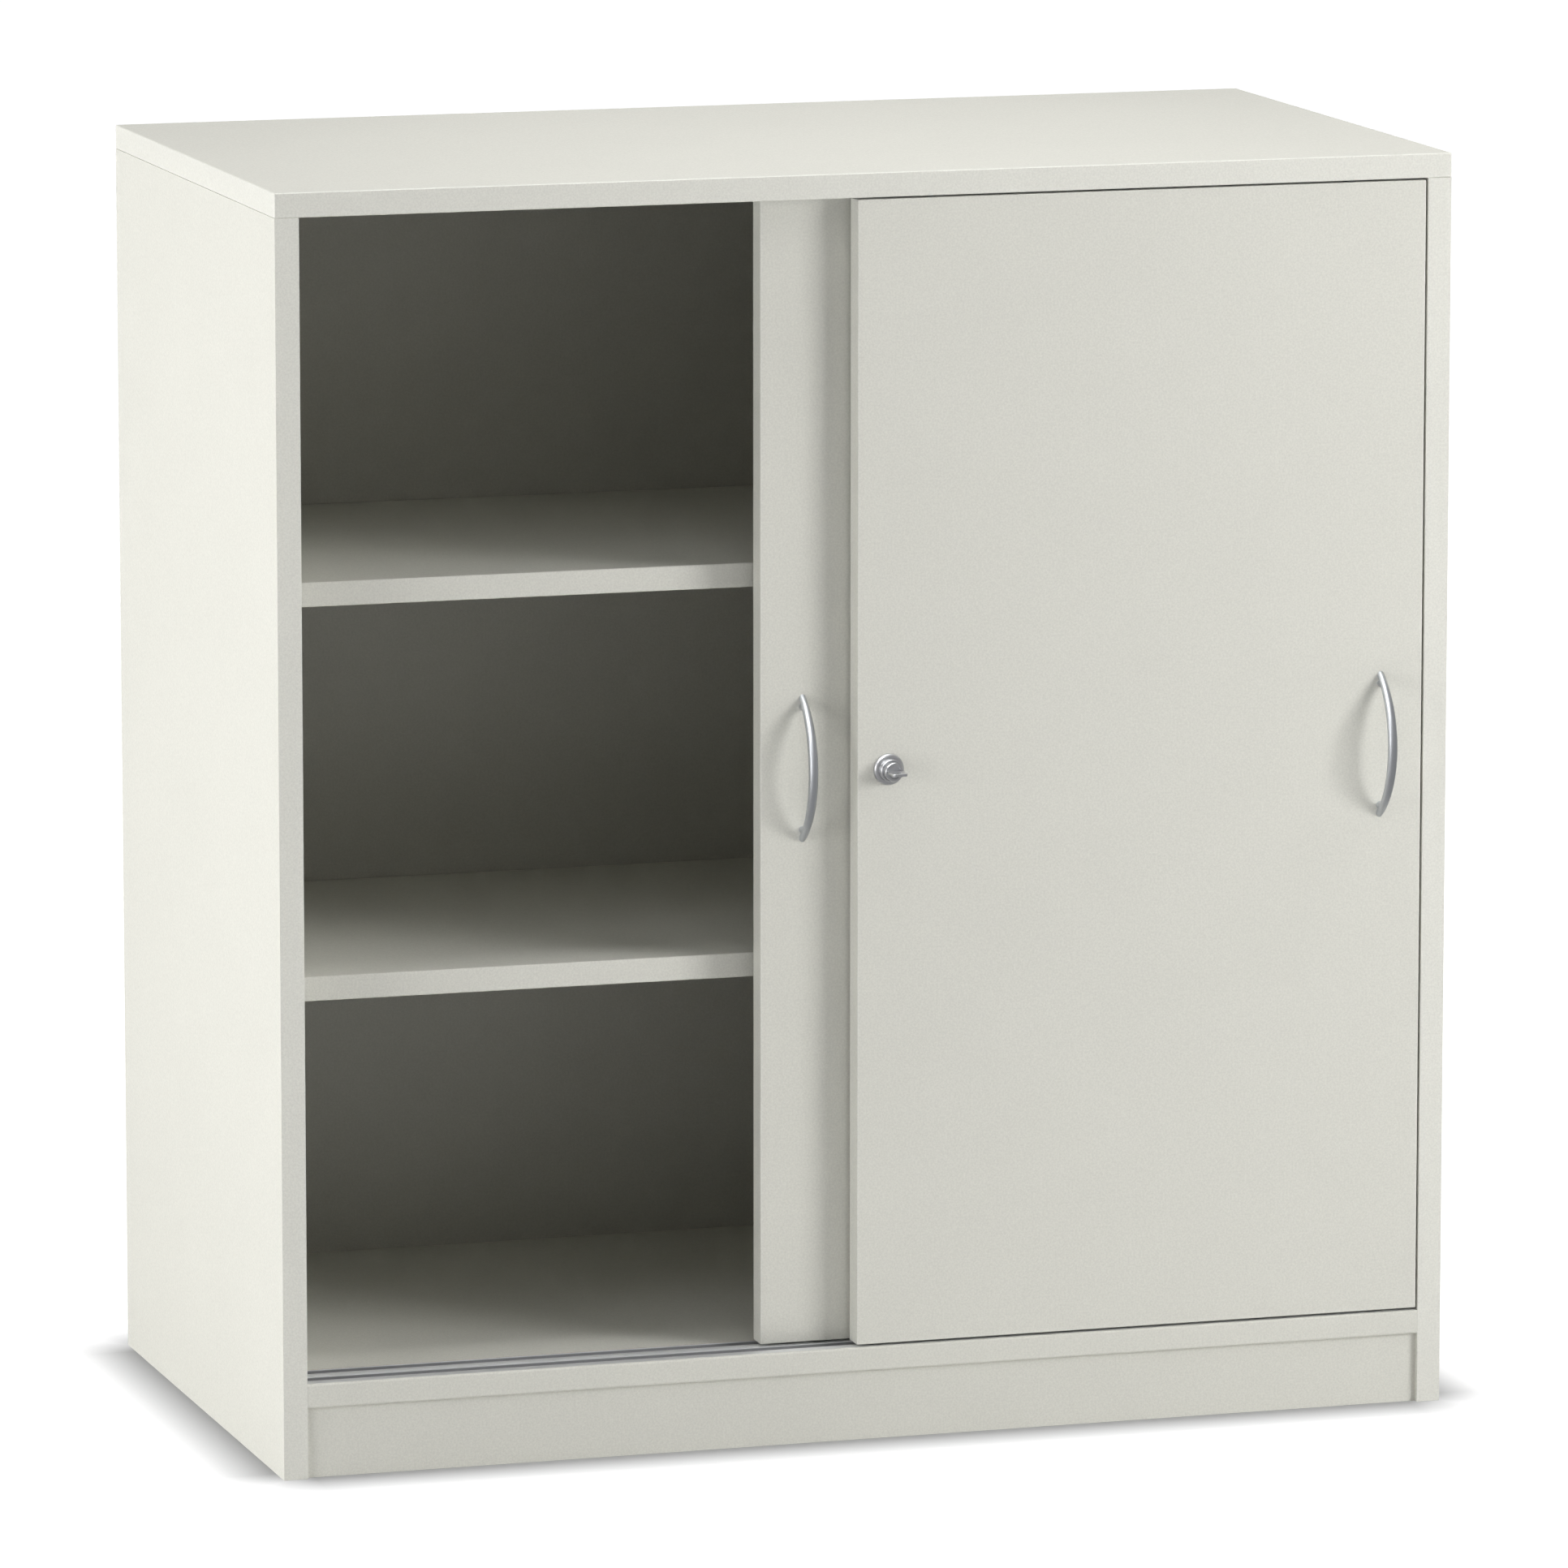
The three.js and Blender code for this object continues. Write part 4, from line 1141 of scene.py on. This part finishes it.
def housing_cuts(door):
    """Each wheel's room, open to the back and downwards, and each axle's bore"""
    wall = 4 * MM
    room_gap = 1 * MM
    steps = 64
    bore_radius = AXLE_RADIUS + SEAT_GAP
    bore_length = wall + 2 * OVERRUN
    cuts = []
    for side in SIDES:
        room = node_radius(f"{door}_runner_wheel_{side}") + room_gap
        low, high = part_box(f"{door}_runner_housing_{side}")
        axis = axle_place(door, side)
        inner = low.y + wall
        outer = high.y + OVERRUN
        cuts.append(cylinder_shape(room, Y, (axis.x, inner, axis.z), outer - inner, steps))
        cuts.append(box_shape((axis.x - room, inner, low.z - OVERRUN), (axis.x + room, outer, axis.z)))
        start = (axis.x, low.y - OVERRUN, axis.z)
        cuts.append(cylinder_shape(bore_radius, Y, start, bore_length, steps))
    return cuts


def make_runner_housings():
    for door in DOORS:
        origin = axle_place(door, "left")
        low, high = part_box(f"{door}_runner_housing_left")
        shape = softened_box(low - origin, high - origin)
        places = [(axle_place(door, side), TURN_Z) for side in SIDES]
        nodes = [f"{door}_runner_housing_{side}" for side in SIDES]
        cuts = housing_cuts(door)
        make_set(f"{door}_door_housings", shape, moulded_plastic, places, door_body(door), nodes, cuts)


def make_runner_axles():
    """Steel pins with a flat head that keeps the wheel on"""
    for door in DOORS:
        length = node_length(f"{door}_runner_axle_left")
        neck = length - AXLE_HEAD_HEIGHT
        profile = [
            (0.0, 0.0), (AXLE_RADIUS, 0.0), (AXLE_RADIUS, neck), (AXLE_HEAD_RADIUS, neck),
            (AXLE_HEAD_RADIUS, length), (0.0, length)]
        places = [(axle_place(door, side), TURN_Y) for side in SIDES]
        nodes = [f"{door}_runner_axle_{side}" for side in SIDES]
        shape = softened_turn(profile)
        make_set(f"{door}_door_axles", shape, zinc_steel, places, door_body(door), nodes)


def make_wheels():
    """Plastic wheels with a chamfered tread and a recess for the axle's head"""
    chamfer = 0.8 * MM
    bore_radius = AXLE_RADIUS + SEAT_GAP
    recess_radius = AXLE_HEAD_RADIUS + SEAT_GAP
    recess_depth = AXLE_HEAD_HEIGHT + SEAT_GAP
    for door in DOORS:
        for side in SIDES:
            node = f"{door}_runner_wheel_{side}"
            radius = node_radius(node)
            width = node_length(node)
            profile = [
                (bore_radius, 0.0), (radius - chamfer, 0.0), (radius, chamfer), (radius, width - chamfer),
                (radius - chamfer, width), (recess_radius, width), (recess_radius, width - recess_depth),
                (bore_radius, width - recess_depth)]
            turned_piece(f"{door}_{side}_door_wheel", node, f"{door}_wheel_{side}", profile, moulded_plastic)


def make_guide_pins():
    """Sleeves in the doors' top edges, each with a pin that runs in the upper track"""
    pin_radius = 3.4 * MM
    steps = 48
    for door in DOORS:
        low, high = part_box(f"{door}_guide_pin_left")
        radius = (high.x - low.x) / 2
        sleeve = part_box(f"{door}_door_panel")[1].z - low.z
        length = high.z - low.z
        profile = [
            (0.0, 0.0), (radius, 0.0), (radius, sleeve), (pin_radius, sleeve), (pin_radius, length),
            (0.0, length)]
        nodes = [f"{door}_guide_pin_{side}" for side in SIDES]
        places = []
        for node in nodes:
            place = node_middle(node)
            place.z = low.z
            places.append((place, TURN_Z))
        shape = softened_turn(profile, steps=steps)
        make_set(f"{door}_door_guides", shape, moulded_plastic, places, door_body(door), nodes)


# Handles

def make_handles():
    handles = settings().handles
    arc_radius = (handles.half_chord ** 2 + handles.bow ** 2) / (2 * handles.bow)
    half_angle = math.asin(handles.half_chord / arc_radius) + handles.end_radius / arc_radius
    inputs = {
        "Arc Radius": arc_radius, "Half Angle": half_angle, "Bow": handles.bow,
        "Middle Radius": handles.middle_radius, "End Radius": handles.end_radius,
        "Foot Radius": handles.foot_radius, "Foot Reach": handles.foot_reach,
        "Foot Spacing": 2 * (handles.half_chord - handles.foot_inset),
        "Rod Sides": handles.rod_sides, "Rod Steps": handles.rod_steps, "Finish": made_finish(satin_silver)}
    upright = Matrix(((0, 0, 1, 0), (-1, 0, 0, 0), (0, 1, 0, 0), (0, 0, 0, 1)))
    for door in DOORS:
        node = f"{door}_handle"
        piece = grow(f"{door}_bow_handle", handle_tree, inputs)
        place = node_middle(node)
        place.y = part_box(node)[1].y
        piece.data.transform(Matrix.Translation(place) @ upright)
        finish_piece(piece, door_body(door), [node], screw_bores(door))


def screw_bores(door):
    """Bores in the handle's feet for the screws"""
    bore_depth = 7 * MM
    steps = 32
    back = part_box(f"{door}_handle")[1].y
    cuts = []
    for level in LEVELS:
        middle = node_middle(f"{door}_handle_screw_{level}")
        start = (middle.x, back - bore_depth, middle.z)
        cuts.append(cylinder_shape(SCREW_RADIUS + SEAT_GAP, Y, start, bore_depth + OVERRUN, steps))
    return cuts


def make_handle_screws():
    """Pan-head screws with a cross recess, put in from the back of the door"""
    head_radius = 4 * MM
    head_height = 2.2 * MM
    dome_share = 0.55
    dome_steps = 9
    half_width = 0.45 * MM
    half_length = 2.2 * MM
    recess_depth = 1.3 * MM
    dome_height = head_height * dome_share
    for door in DOORS:
        low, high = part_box(f"{door}_handle_screw_lower")
        length = high.y - low.y
        neck = length - head_height
        rim = length - dome_height
        dome = [
            (head_radius * across, rim + dome_height * up)
            for across, up in arc((0.0, 0.0), 1.0, 0, 90, dome_steps)]
        profile = [
            (0.0, 0.0), (SCREW_RADIUS, 0.0), (SCREW_RADIUS, neck), (head_radius, neck), *dome[:-1],
            (0.0, length)]
        nodes = [f"{door}_handle_screw_{level}" for level in LEVELS]
        places = []
        cuts = []
        for node in nodes:
            place = node_middle(node)
            place.y = low.y
            places.append((place, TURN_Y))
            for across, along in ((half_length, half_width), (half_width, half_length)):
                cuts.append(box_shape(
                    (place.x - across, high.y - recess_depth, place.z - along),
                    (place.x + across, high.y + OVERRUN, place.z + along)))
        shape = softened_turn(profile)
        make_set(f"{door}_handle_fixings", shape, zinc_steel, places, door_body(door), nodes, cuts)


# Lock

def make_lock_rosette():
    """A domed ring on the door's face"""
    lock = settings().lock
    steps = 20
    radius = node_radius("lock_rosette")
    reach = node_length("lock_rosette")
    inner = node_radius("lock_housing") + LOCK_GAP
    rise = reach - lock.rosette_rim
    dome = [
        (inner + (radius - inner) * across, rise * (1.0 - up))
        for across, up in arc((0.0, 0.0), 1.0, 90, 0, steps)]
    profile = [*dome, (radius, reach), (inner, reach)]
    turned_piece("lock_rosette_dome", "lock_rosette", "front_door", profile, nickel)


def make_lock_housing():
    """The collar that stands out of the rosette, and its barrel through the door"""
    lock = settings().lock
    radius = node_radius("lock_housing")
    length = node_length("lock_housing")
    room = node_radius("lock_cylinder") + LOCK_GAP
    bolt_room = lock.bolt_radius + SEAT_GAP
    floor = length - lock.housing_floor
    profile = [
        (room, 0.0), (radius - lock.bevel, 0.0), (radius, lock.bevel), (radius, length), (bolt_room, length),
        (bolt_room, floor), (room, floor)]
    turned_piece("lock_barrel", "lock_housing", "front_door", profile, nickel)


def make_lock_nut():
    inner = node_radius("lock_housing") + SEAT_GAP
    radius = node_radius("lock_nut")
    length = node_length("lock_nut")
    profile = [(inner, 0.0), (radius, 0.0), (radius, length), (inner, length)]
    turned_piece("lock_ring_nut", "lock_nut", "front_door", profile, zinc_steel)


def make_lock_cylinder():
    """The pushed cylinder, open at the front for the core, with its bolt behind"""
    lock = settings().lock
    radius = node_radius("lock_cylinder")
    length = node_length("lock_cylinder")
    room = node_radius("lock_core") + LOCK_GAP
    shoulder = lock.cylinder_length
    tip = lock.bolt_radius
    profile = [
        (0.0, shoulder - lock.cylinder_web), (room, shoulder - lock.cylinder_web), (room, 0.0),
        (radius - lock.bevel, 0.0), (radius, lock.bevel), (radius, shoulder), (tip, shoulder),
        (tip, length - lock.bevel), (tip - lock.bevel, length), (0.0, length)]
    turned_piece("lock_push_cylinder", "lock_cylinder", "lock_slider", profile, nickel, closed=False)


def make_lock_core():
    """The core that turns with the key, with a level slot for the blade"""
    lock = settings().lock
    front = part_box("lock_core")[0].y
    key_low, key_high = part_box("key")
    middle = node_middle("lock_core")
    radius = node_radius("lock_core")
    length = node_length("lock_core")
    half_slot = lock.blade_width / 2 + LOCK_GAP
    slot = box_shape(
        (middle.x - half_slot, front - OVERRUN, key_low.z - LOCK_GAP),
        (middle.x + half_slot, key_high.y + LOCK_GAP, key_high.z + LOCK_GAP))
    profile = [(0.0, 0.0), (radius, 0.0), (radius, length), (0.0, length)]
    turned_piece("lock_plug", "lock_core", "lock_key", profile, nickel, closed=False, cuts=[slot])


def make_key():
    """A flat key: its bow stands in front of the cylinder and its blade is in the core"""
    lock = settings().lock
    steps = 8
    hole_steps = 48
    edge_steps = 3
    low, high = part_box("key")
    middle = node_middle("key")
    half = (high.x - low.x) / 2
    half_blade = lock.blade_width / 2
    corner = lock.bow_corner
    neck = high.y - lock.blade_length
    left = middle.x - half
    right = middle.x + half
    outline = [
        (middle.x - half_blade, high.y), (middle.x - half_blade, neck), (left, neck - lock.shoulder),
        *arc((left + corner, low.y + corner), corner, 180, 270, steps),
        *arc((right - corner, low.y + corner), corner, -90, 0, steps),
        (right, neck - lock.shoulder), (middle.x + half_blade, neck), (middle.x + half_blade, high.y)]
    shape = extruded_shape(outline, Z, low.z, high.z)
    shape.normal_update()
    level = 0.9
    rims = [
        edge for edge in shape.edges
        if any(abs(face.normal.z) > level for face in edge.link_faces)
        and any(abs(face.normal.z) < level for face in edge.link_faces)]
    round_edges(shape, rims, lock.key_edge, edge_steps)
    hole_middle = (middle.x, low.y + corner + lock.bow_hole, low.z - OVERRUN)
    hole = cylinder_shape(lock.bow_hole, Z, hole_middle, high.z - low.z + 2 * OVERRUN, hole_steps)
    solid_piece("flat_key", shape, nickel, "lock_key", ["key"], [hole])


def make_lock_spring():
    """The spring lies round the bolt, pressed to its shortest length"""
    lock = settings().lock
    wire_sides = 12
    turn_steps = 48
    low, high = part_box("lock_spring")
    middle = node_middle("lock_spring")
    inputs = {
        "Turns": float(lock.spring_turns), "Coil Radius": (high.x - low.x) / 2 - lock.wire_radius,
        "Length": high.y - low.y - 2 * lock.wire_radius, "Wire Radius": lock.wire_radius,
        "Wire Sides": wire_sides, "Turn Steps": turn_steps, "Finish": made_finish(zinc_steel)}
    piece = grow("lock_coil_spring", coil_tree, inputs)
    place = Vector((middle.x, low.y + lock.wire_radius, middle.z))
    piece.data.transform(Matrix.Translation(place) @ LAID_ALONG[Y])
    finish_piece(piece, "front_door", ["lock_spring"])


def make_strike_plate():
    """A nickel plate on the rear door's face, with a hole for the bolt and two pegs"""
    lock = settings().lock
    corner = 4 * MM
    corner_steps = 8
    edge_steps = 3
    steps = 48
    low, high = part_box("strike_plate")
    middle = node_middle("strike_plate")
    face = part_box("rear_door_panel")[0].y
    shape = box_shape(low, (high.x, face, high.z))
    upright = [edge for edge in shape.edges if abs(edge.verts[0].co.y - edge.verts[1].co.y) > TINY]
    round_edges(shape, upright, corner, corner_steps)
    front = [edge for edge in shape.edges if all(abs(vert.co.y - low.y) < TINY for vert in edge.verts)]
    round_edges(shape, front, lock.bevel, edge_steps)
    for side in (-1, 1):
        start = (middle.x, face, middle.z + side * lock.peg_spacing / 2)
        join(shape, cylinder_shape(lock.peg_radius, Y, start, lock.peg_depth, steps))
    start = (middle.x, low.y - OVERRUN, middle.z)
    hole = cylinder_shape(lock.strike_hole, Y, start, face - low.y + 2 * OVERRUN, steps)
    solid_piece("strike_plate_cover", shape, nickel, "rear_door", ["strike_plate"], [hole])


# Studio

STAGE_SIZE = 60.0
FLOOR_DROP = 0.15 * MM
SHEET_DROP = 0.1 * MM
WALL_HEIGHT = 30.0

# Direction round the cabinet and height above its middle in degrees, distance in metres, and what it lights
LAMP_PLACES = {
    "side": (-100, 8, 4.2, "all"),
    "key": (45, 13, 3.0, "matt"),
    "right": (60, 45, 3.0, "matt"),
    "top": (0, 86, 2.4, "all"),
    "left": (-64, 5, 3.0, "all"),
    "near": (-15, 50, 2.4, "all"),
    "back": (165, 3, 3.0, "matt"),
    "sheen": (-44, 49, 3.0, "shiny"),
}


def stage_finish(name, brightness):
    finish = Finish(name, roughness=1.0)
    finish.shader.inputs["Base Color"].default_value = (brightness, brightness, brightness, 1.0)
    finish.shader.inputs["Specular IOR Level"].default_value = 0.0
    return finish


def make_floor():
    """A pale floor that throws light up at the cabinet; the camera sees the white sheet on it instead"""
    brightness = 0.86
    half = STAGE_SIZE / 2
    mesh = bpy.data.meshes.new("studio_floor")
    corners = [(-half, -half), (half, -half), (half, half), (-half, half)]
    mesh.from_pydata([(x, y, -FLOOR_DROP) for x, y in corners], [], [(0, 1, 2, 3)])
    mesh.materials.append(stage_finish("studio_floor", brightness).material)
    floor = add_object("studio_floor", mesh)
    floor.visible_camera = False
    floor.visible_glossy = False
    floor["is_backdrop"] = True


def contact_shade(finish, studio):
    """The share of shade at a point on the floor, which fades away from the foot and near its corners"""
    front_share = 0.95
    corner_reach = 25 * MM
    corner_share = 0.15
    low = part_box("left_side_panel")[0]
    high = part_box("right_side_panel")[1]
    middle = (low + high) / 2
    half = (high - low) / 2

    def combine(operation, first, second=(0.0, 0.0, 0.0)):
        node = add_node(finish.tree, "ShaderNodeVectorMath", {0: first, 1: second}, operation=operation)
        return node.outputs["Vector"]

    across = combine("ABSOLUTE", combine("SUBTRACT", finish.place, middle))
    beyond = combine("MAXIMUM", combine("SUBTRACT", across, half))
    nearer = combine("MULTIPLY", beyond, (1.0, front_share, 0.0))
    away = add_node(finish.tree, "ShaderNodeVectorMath", {0: nearer}, operation="LENGTH").outputs["Value"]
    inside = add_node(finish.tree, "ShaderNodeSeparateXYZ", {"Vector": combine("SUBTRACT", half, across)})
    along = finish.add(inside.outputs["X"], inside.outputs["Y"], "MAXIMUM")
    beside = finish.spread(along, corner_share, 1.0, -corner_reach, corner_reach)
    return finish.add(finish.spread(away, 1.0, 0.0, 0.0, studio.contact_reach), beside, "MULTIPLY")


def make_white_sheet(studio):
    """A white floor and walls for the camera alone, in soft shade round the foot of the cabinet"""
    brightness = 0.2
    half = STAGE_SIZE / 2
    shape = box_shape((-half, -half, -SHEET_DROP), (half, half, WALL_HEIGHT))
    lid = [face for face in shape.faces if face.calc_center_median().z > WALL_HEIGHT - TINY]
    bmesh.ops.delete(shape, geom=lid, context="FACES")
    finish = stage_finish("studio_sheet", brightness)
    finish.shader.inputs["Emission Color"].default_value = (1.0, 1.0, 1.0, 1.0)
    glow = finish.spread(contact_shade(finish, studio), studio.sheet_glow, studio.contact_glow, 0.0, 1.0)
    finish.use(emission_strength=glow)
    sheet = shape_object("studio_sheet", shape, [finish.material])
    sheet.visible_diffuse = False
    sheet.visible_glossy = False
    sheet.visible_shadow = False
    sheet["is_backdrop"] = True


def make_world(studio):
    """A dome that shows only in shiny surfaces"""
    world = bpy.data.worlds.new("studio_dome")
    world.use_nodes = True
    background = world.node_tree.nodes["Background"]
    background.inputs["Color"].default_value = (1.0, 1.0, 1.0, 1.0)
    background.inputs["Strength"].default_value = studio.dome_strength
    world.cycles_visibility.diffuse = False
    bpy.context.scene.world = world


def add_lamp(name, power):
    """A square lamp that looks at the middle of the cabinet, as wide as a fixed share of its distance"""
    width_share = 0.38
    azimuth, elevation, distance, lights = LAMP_PLACES[name]
    turn = math.radians(azimuth)
    rise = math.radians(elevation)
    aim = (MODEL_BOX[0] + MODEL_BOX[1]) / 2
    towards = Vector((math.sin(turn) * math.cos(rise), -math.cos(turn) * math.cos(rise), math.sin(rise)))
    light = bpy.data.lights.new(name, "AREA")
    light.size = distance * width_share
    light.energy = power
    lamp = add_object(f"{name}_lamp", light)
    lamp.location = aim + towards * distance
    lamp.rotation_euler = (-towards).to_track_quat("-Z", "Y").to_euler()
    lamp.visible_diffuse = lights != "shiny"
    lamp.visible_glossy = lights != "matt"


def make_lights(studio):
    for name in LAMP_PLACES:
        add_lamp(name, getattr(studio, f"{name}_power"))


def make_camera(studio):
    camera = bpy.data.cameras.new("studio_camera")
    camera.sensor_width = 36.0
    camera.lens = studio.lens
    camera.clip_end = 2 * STAGE_SIZE
    eye = add_object("studio_camera", camera)
    tilt = math.pi / 2 - studio.elevation
    turn = Matrix.Rotation(studio.azimuth, 3, "Z") @ Matrix.Rotation(tilt, 3, "X")
    eye.rotation_euler = turn.to_euler()
    aim = Vector((0.0, 0.0, studio.aim_height))
    eye.location = aim + turn @ Vector((studio.aim_shift, 0.0, studio.distance))
    bpy.context.scene.camera = eye


def make_studio():
    studio = settings().studio
    make_camera(studio)
    make_floor()
    make_white_sheet(studio)
    make_world(studio)
    make_lights(studio)
    scene = bpy.context.scene
    scene.view_settings.view_transform = "Standard"
    scene.cycles.diffuse_bounces = 4


# Operators

class TopBoardOperator(bpy.types.Operator):
    """Make the top board, which lies over both sides"""

    bl_idname = "cabinet.top_board"
    bl_label = "Top Board"

    def execute(self, context):
        make_top_board()
        return {"FINISHED"}


class SideBoardsOperator(bpy.types.Operator):
    """Make the two side boards"""

    bl_idname = "cabinet.side_boards"
    bl_label = "Side Boards"

    def execute(self, context):
        make_side_boards()
        return {"FINISHED"}


class BottomBoardOperator(bpy.types.Operator):
    """Make the bottom board and the plinth under it"""

    bl_idname = "cabinet.bottom_board"
    bl_label = "Bottom Board and Plinth"

    def execute(self, context):
        make_bottom_board()
        make_plinth()
        return {"FINISHED"}


class BackOperator(bpy.types.Operator):
    """Make the thin back board"""

    bl_idname = "cabinet.back_board"
    bl_label = "Back Board"

    def execute(self, context):
        make_back()
        return {"FINISHED"}


class ShelvesOperator(bpy.types.Operator):
    """Make the two shelves"""

    bl_idname = "cabinet.shelves"
    bl_label = "Shelves"

    def execute(self, context):
        make_shelves()
        return {"FINISHED"}


class SmallFittingsOperator(bpy.types.Operator):
    """Make the shelf supports and the dowels of the carcass"""

    bl_idname = "cabinet.supports_and_dowels"
    bl_label = "Supports and Dowels"

    def execute(self, context):
        make_shelf_supports()
        make_dowels()
        return {"FINISHED"}


class TracksOperator(bpy.types.Operator):
    """Make the lower and upper tracks and their door stops"""

    bl_idname = "cabinet.tracks"
    bl_label = "Tracks and Stops"

    def execute(self, context):
        make_tracks()
        make_door_stops()
        return {"FINISHED"}


class DoorsOperator(bpy.types.Operator):
    """Make the front and rear door boards"""

    bl_idname = "cabinet.doors"
    bl_label = "Doors"

    def execute(self, context):
        make_front_door()
        make_rear_door()
        return {"FINISHED"}


class RunnersOperator(bpy.types.Operator):
    """Make the doors' runner housings, axles, wheels and upper guides"""

    bl_idname = "cabinet.runners"
    bl_label = "Runners and Guides"

    def execute(self, context):
        make_runner_housings()
        make_runner_axles()
        make_wheels()
        make_guide_pins()
        return {"FINISHED"}


class HandlesOperator(bpy.types.Operator):
    """Make the bow handles and their screws"""

    bl_idname = "cabinet.handles"
    bl_label = "Bow Handles"

    def execute(self, context):
        make_handles()
        make_handle_screws()
        return {"FINISHED"}


class LockOperator(bpy.types.Operator):
    """Make the lock: rosette, housing, nut, spring, cylinder and core"""

    bl_idname = "cabinet.lock"
    bl_label = "Push Lock"

    def execute(self, context):
        make_lock_rosette()
        make_lock_housing()
        make_lock_nut()
        make_lock_spring()
        make_lock_cylinder()
        make_lock_core()
        return {"FINISHED"}


class KeyOperator(bpy.types.Operator):
    """Make the key and the strike plate"""

    bl_idname = "cabinet.key_and_strike"
    bl_label = "Key and Strike Plate"

    def execute(self, context):
        make_key()
        make_strike_plate()
        return {"FINISHED"}


class StudioOperator(bpy.types.Operator):
    """Make the camera, the floor and the lights"""

    bl_idname = "cabinet.studio"
    bl_label = "Studio"

    def execute(self, context):
        make_studio()
        return {"FINISHED"}


OPERATORS = (
    StudioOperator, TopBoardOperator, SideBoardsOperator, BottomBoardOperator, BackOperator, ShelvesOperator,
    SmallFittingsOperator, TracksOperator, DoorsOperator, RunnersOperator, HandlesOperator, LockOperator,
    KeyOperator)


class CabinetPanel(bpy.types.Panel):
    """Sidebar list of the cabinet's pieces"""

    bl_idname = "VIEW3D_PT_sliding_cabinet"
    bl_label = "Sliding Door Cabinet"
    bl_space_type = "VIEW_3D"
    bl_region_type = "UI"
    bl_category = "Cabinet"

    def draw(self, context):
        for operator in OPERATORS:
            self.layout.operator(operator.bl_idname)


CLASSES = (
    BoardSettings, FittingSettings, HandleSettings, LockSettings, StudioSettings, CabinetSettings, *OPERATORS,
    CabinetPanel)


def register():
    for new_class in CLASSES:
        bpy.utils.register_class(new_class)
    bpy.types.Scene.sliding_cabinet = PointerProperty(type=CabinetSettings)


def unregister():
    del bpy.types.Scene.sliding_cabinet
    for old_class in reversed(CLASSES):
        bpy.utils.unregister_class(old_class)


def write_sizes():
    """Works out the model's box and the finished cabinet's box; it writes them nowhere"""
    boxes = {"model": MODEL_BOX, "visual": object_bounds()}
    boxes = {name: [list(corner) for corner in box] for name, box in boxes.items()}


def main():
    register()
    for operator in OPERATORS:
        group, name = operator.bl_idname.split(".")
        getattr(getattr(bpy.ops, group), name)()
    write_sizes()


if __name__ == "__main__":
    main()
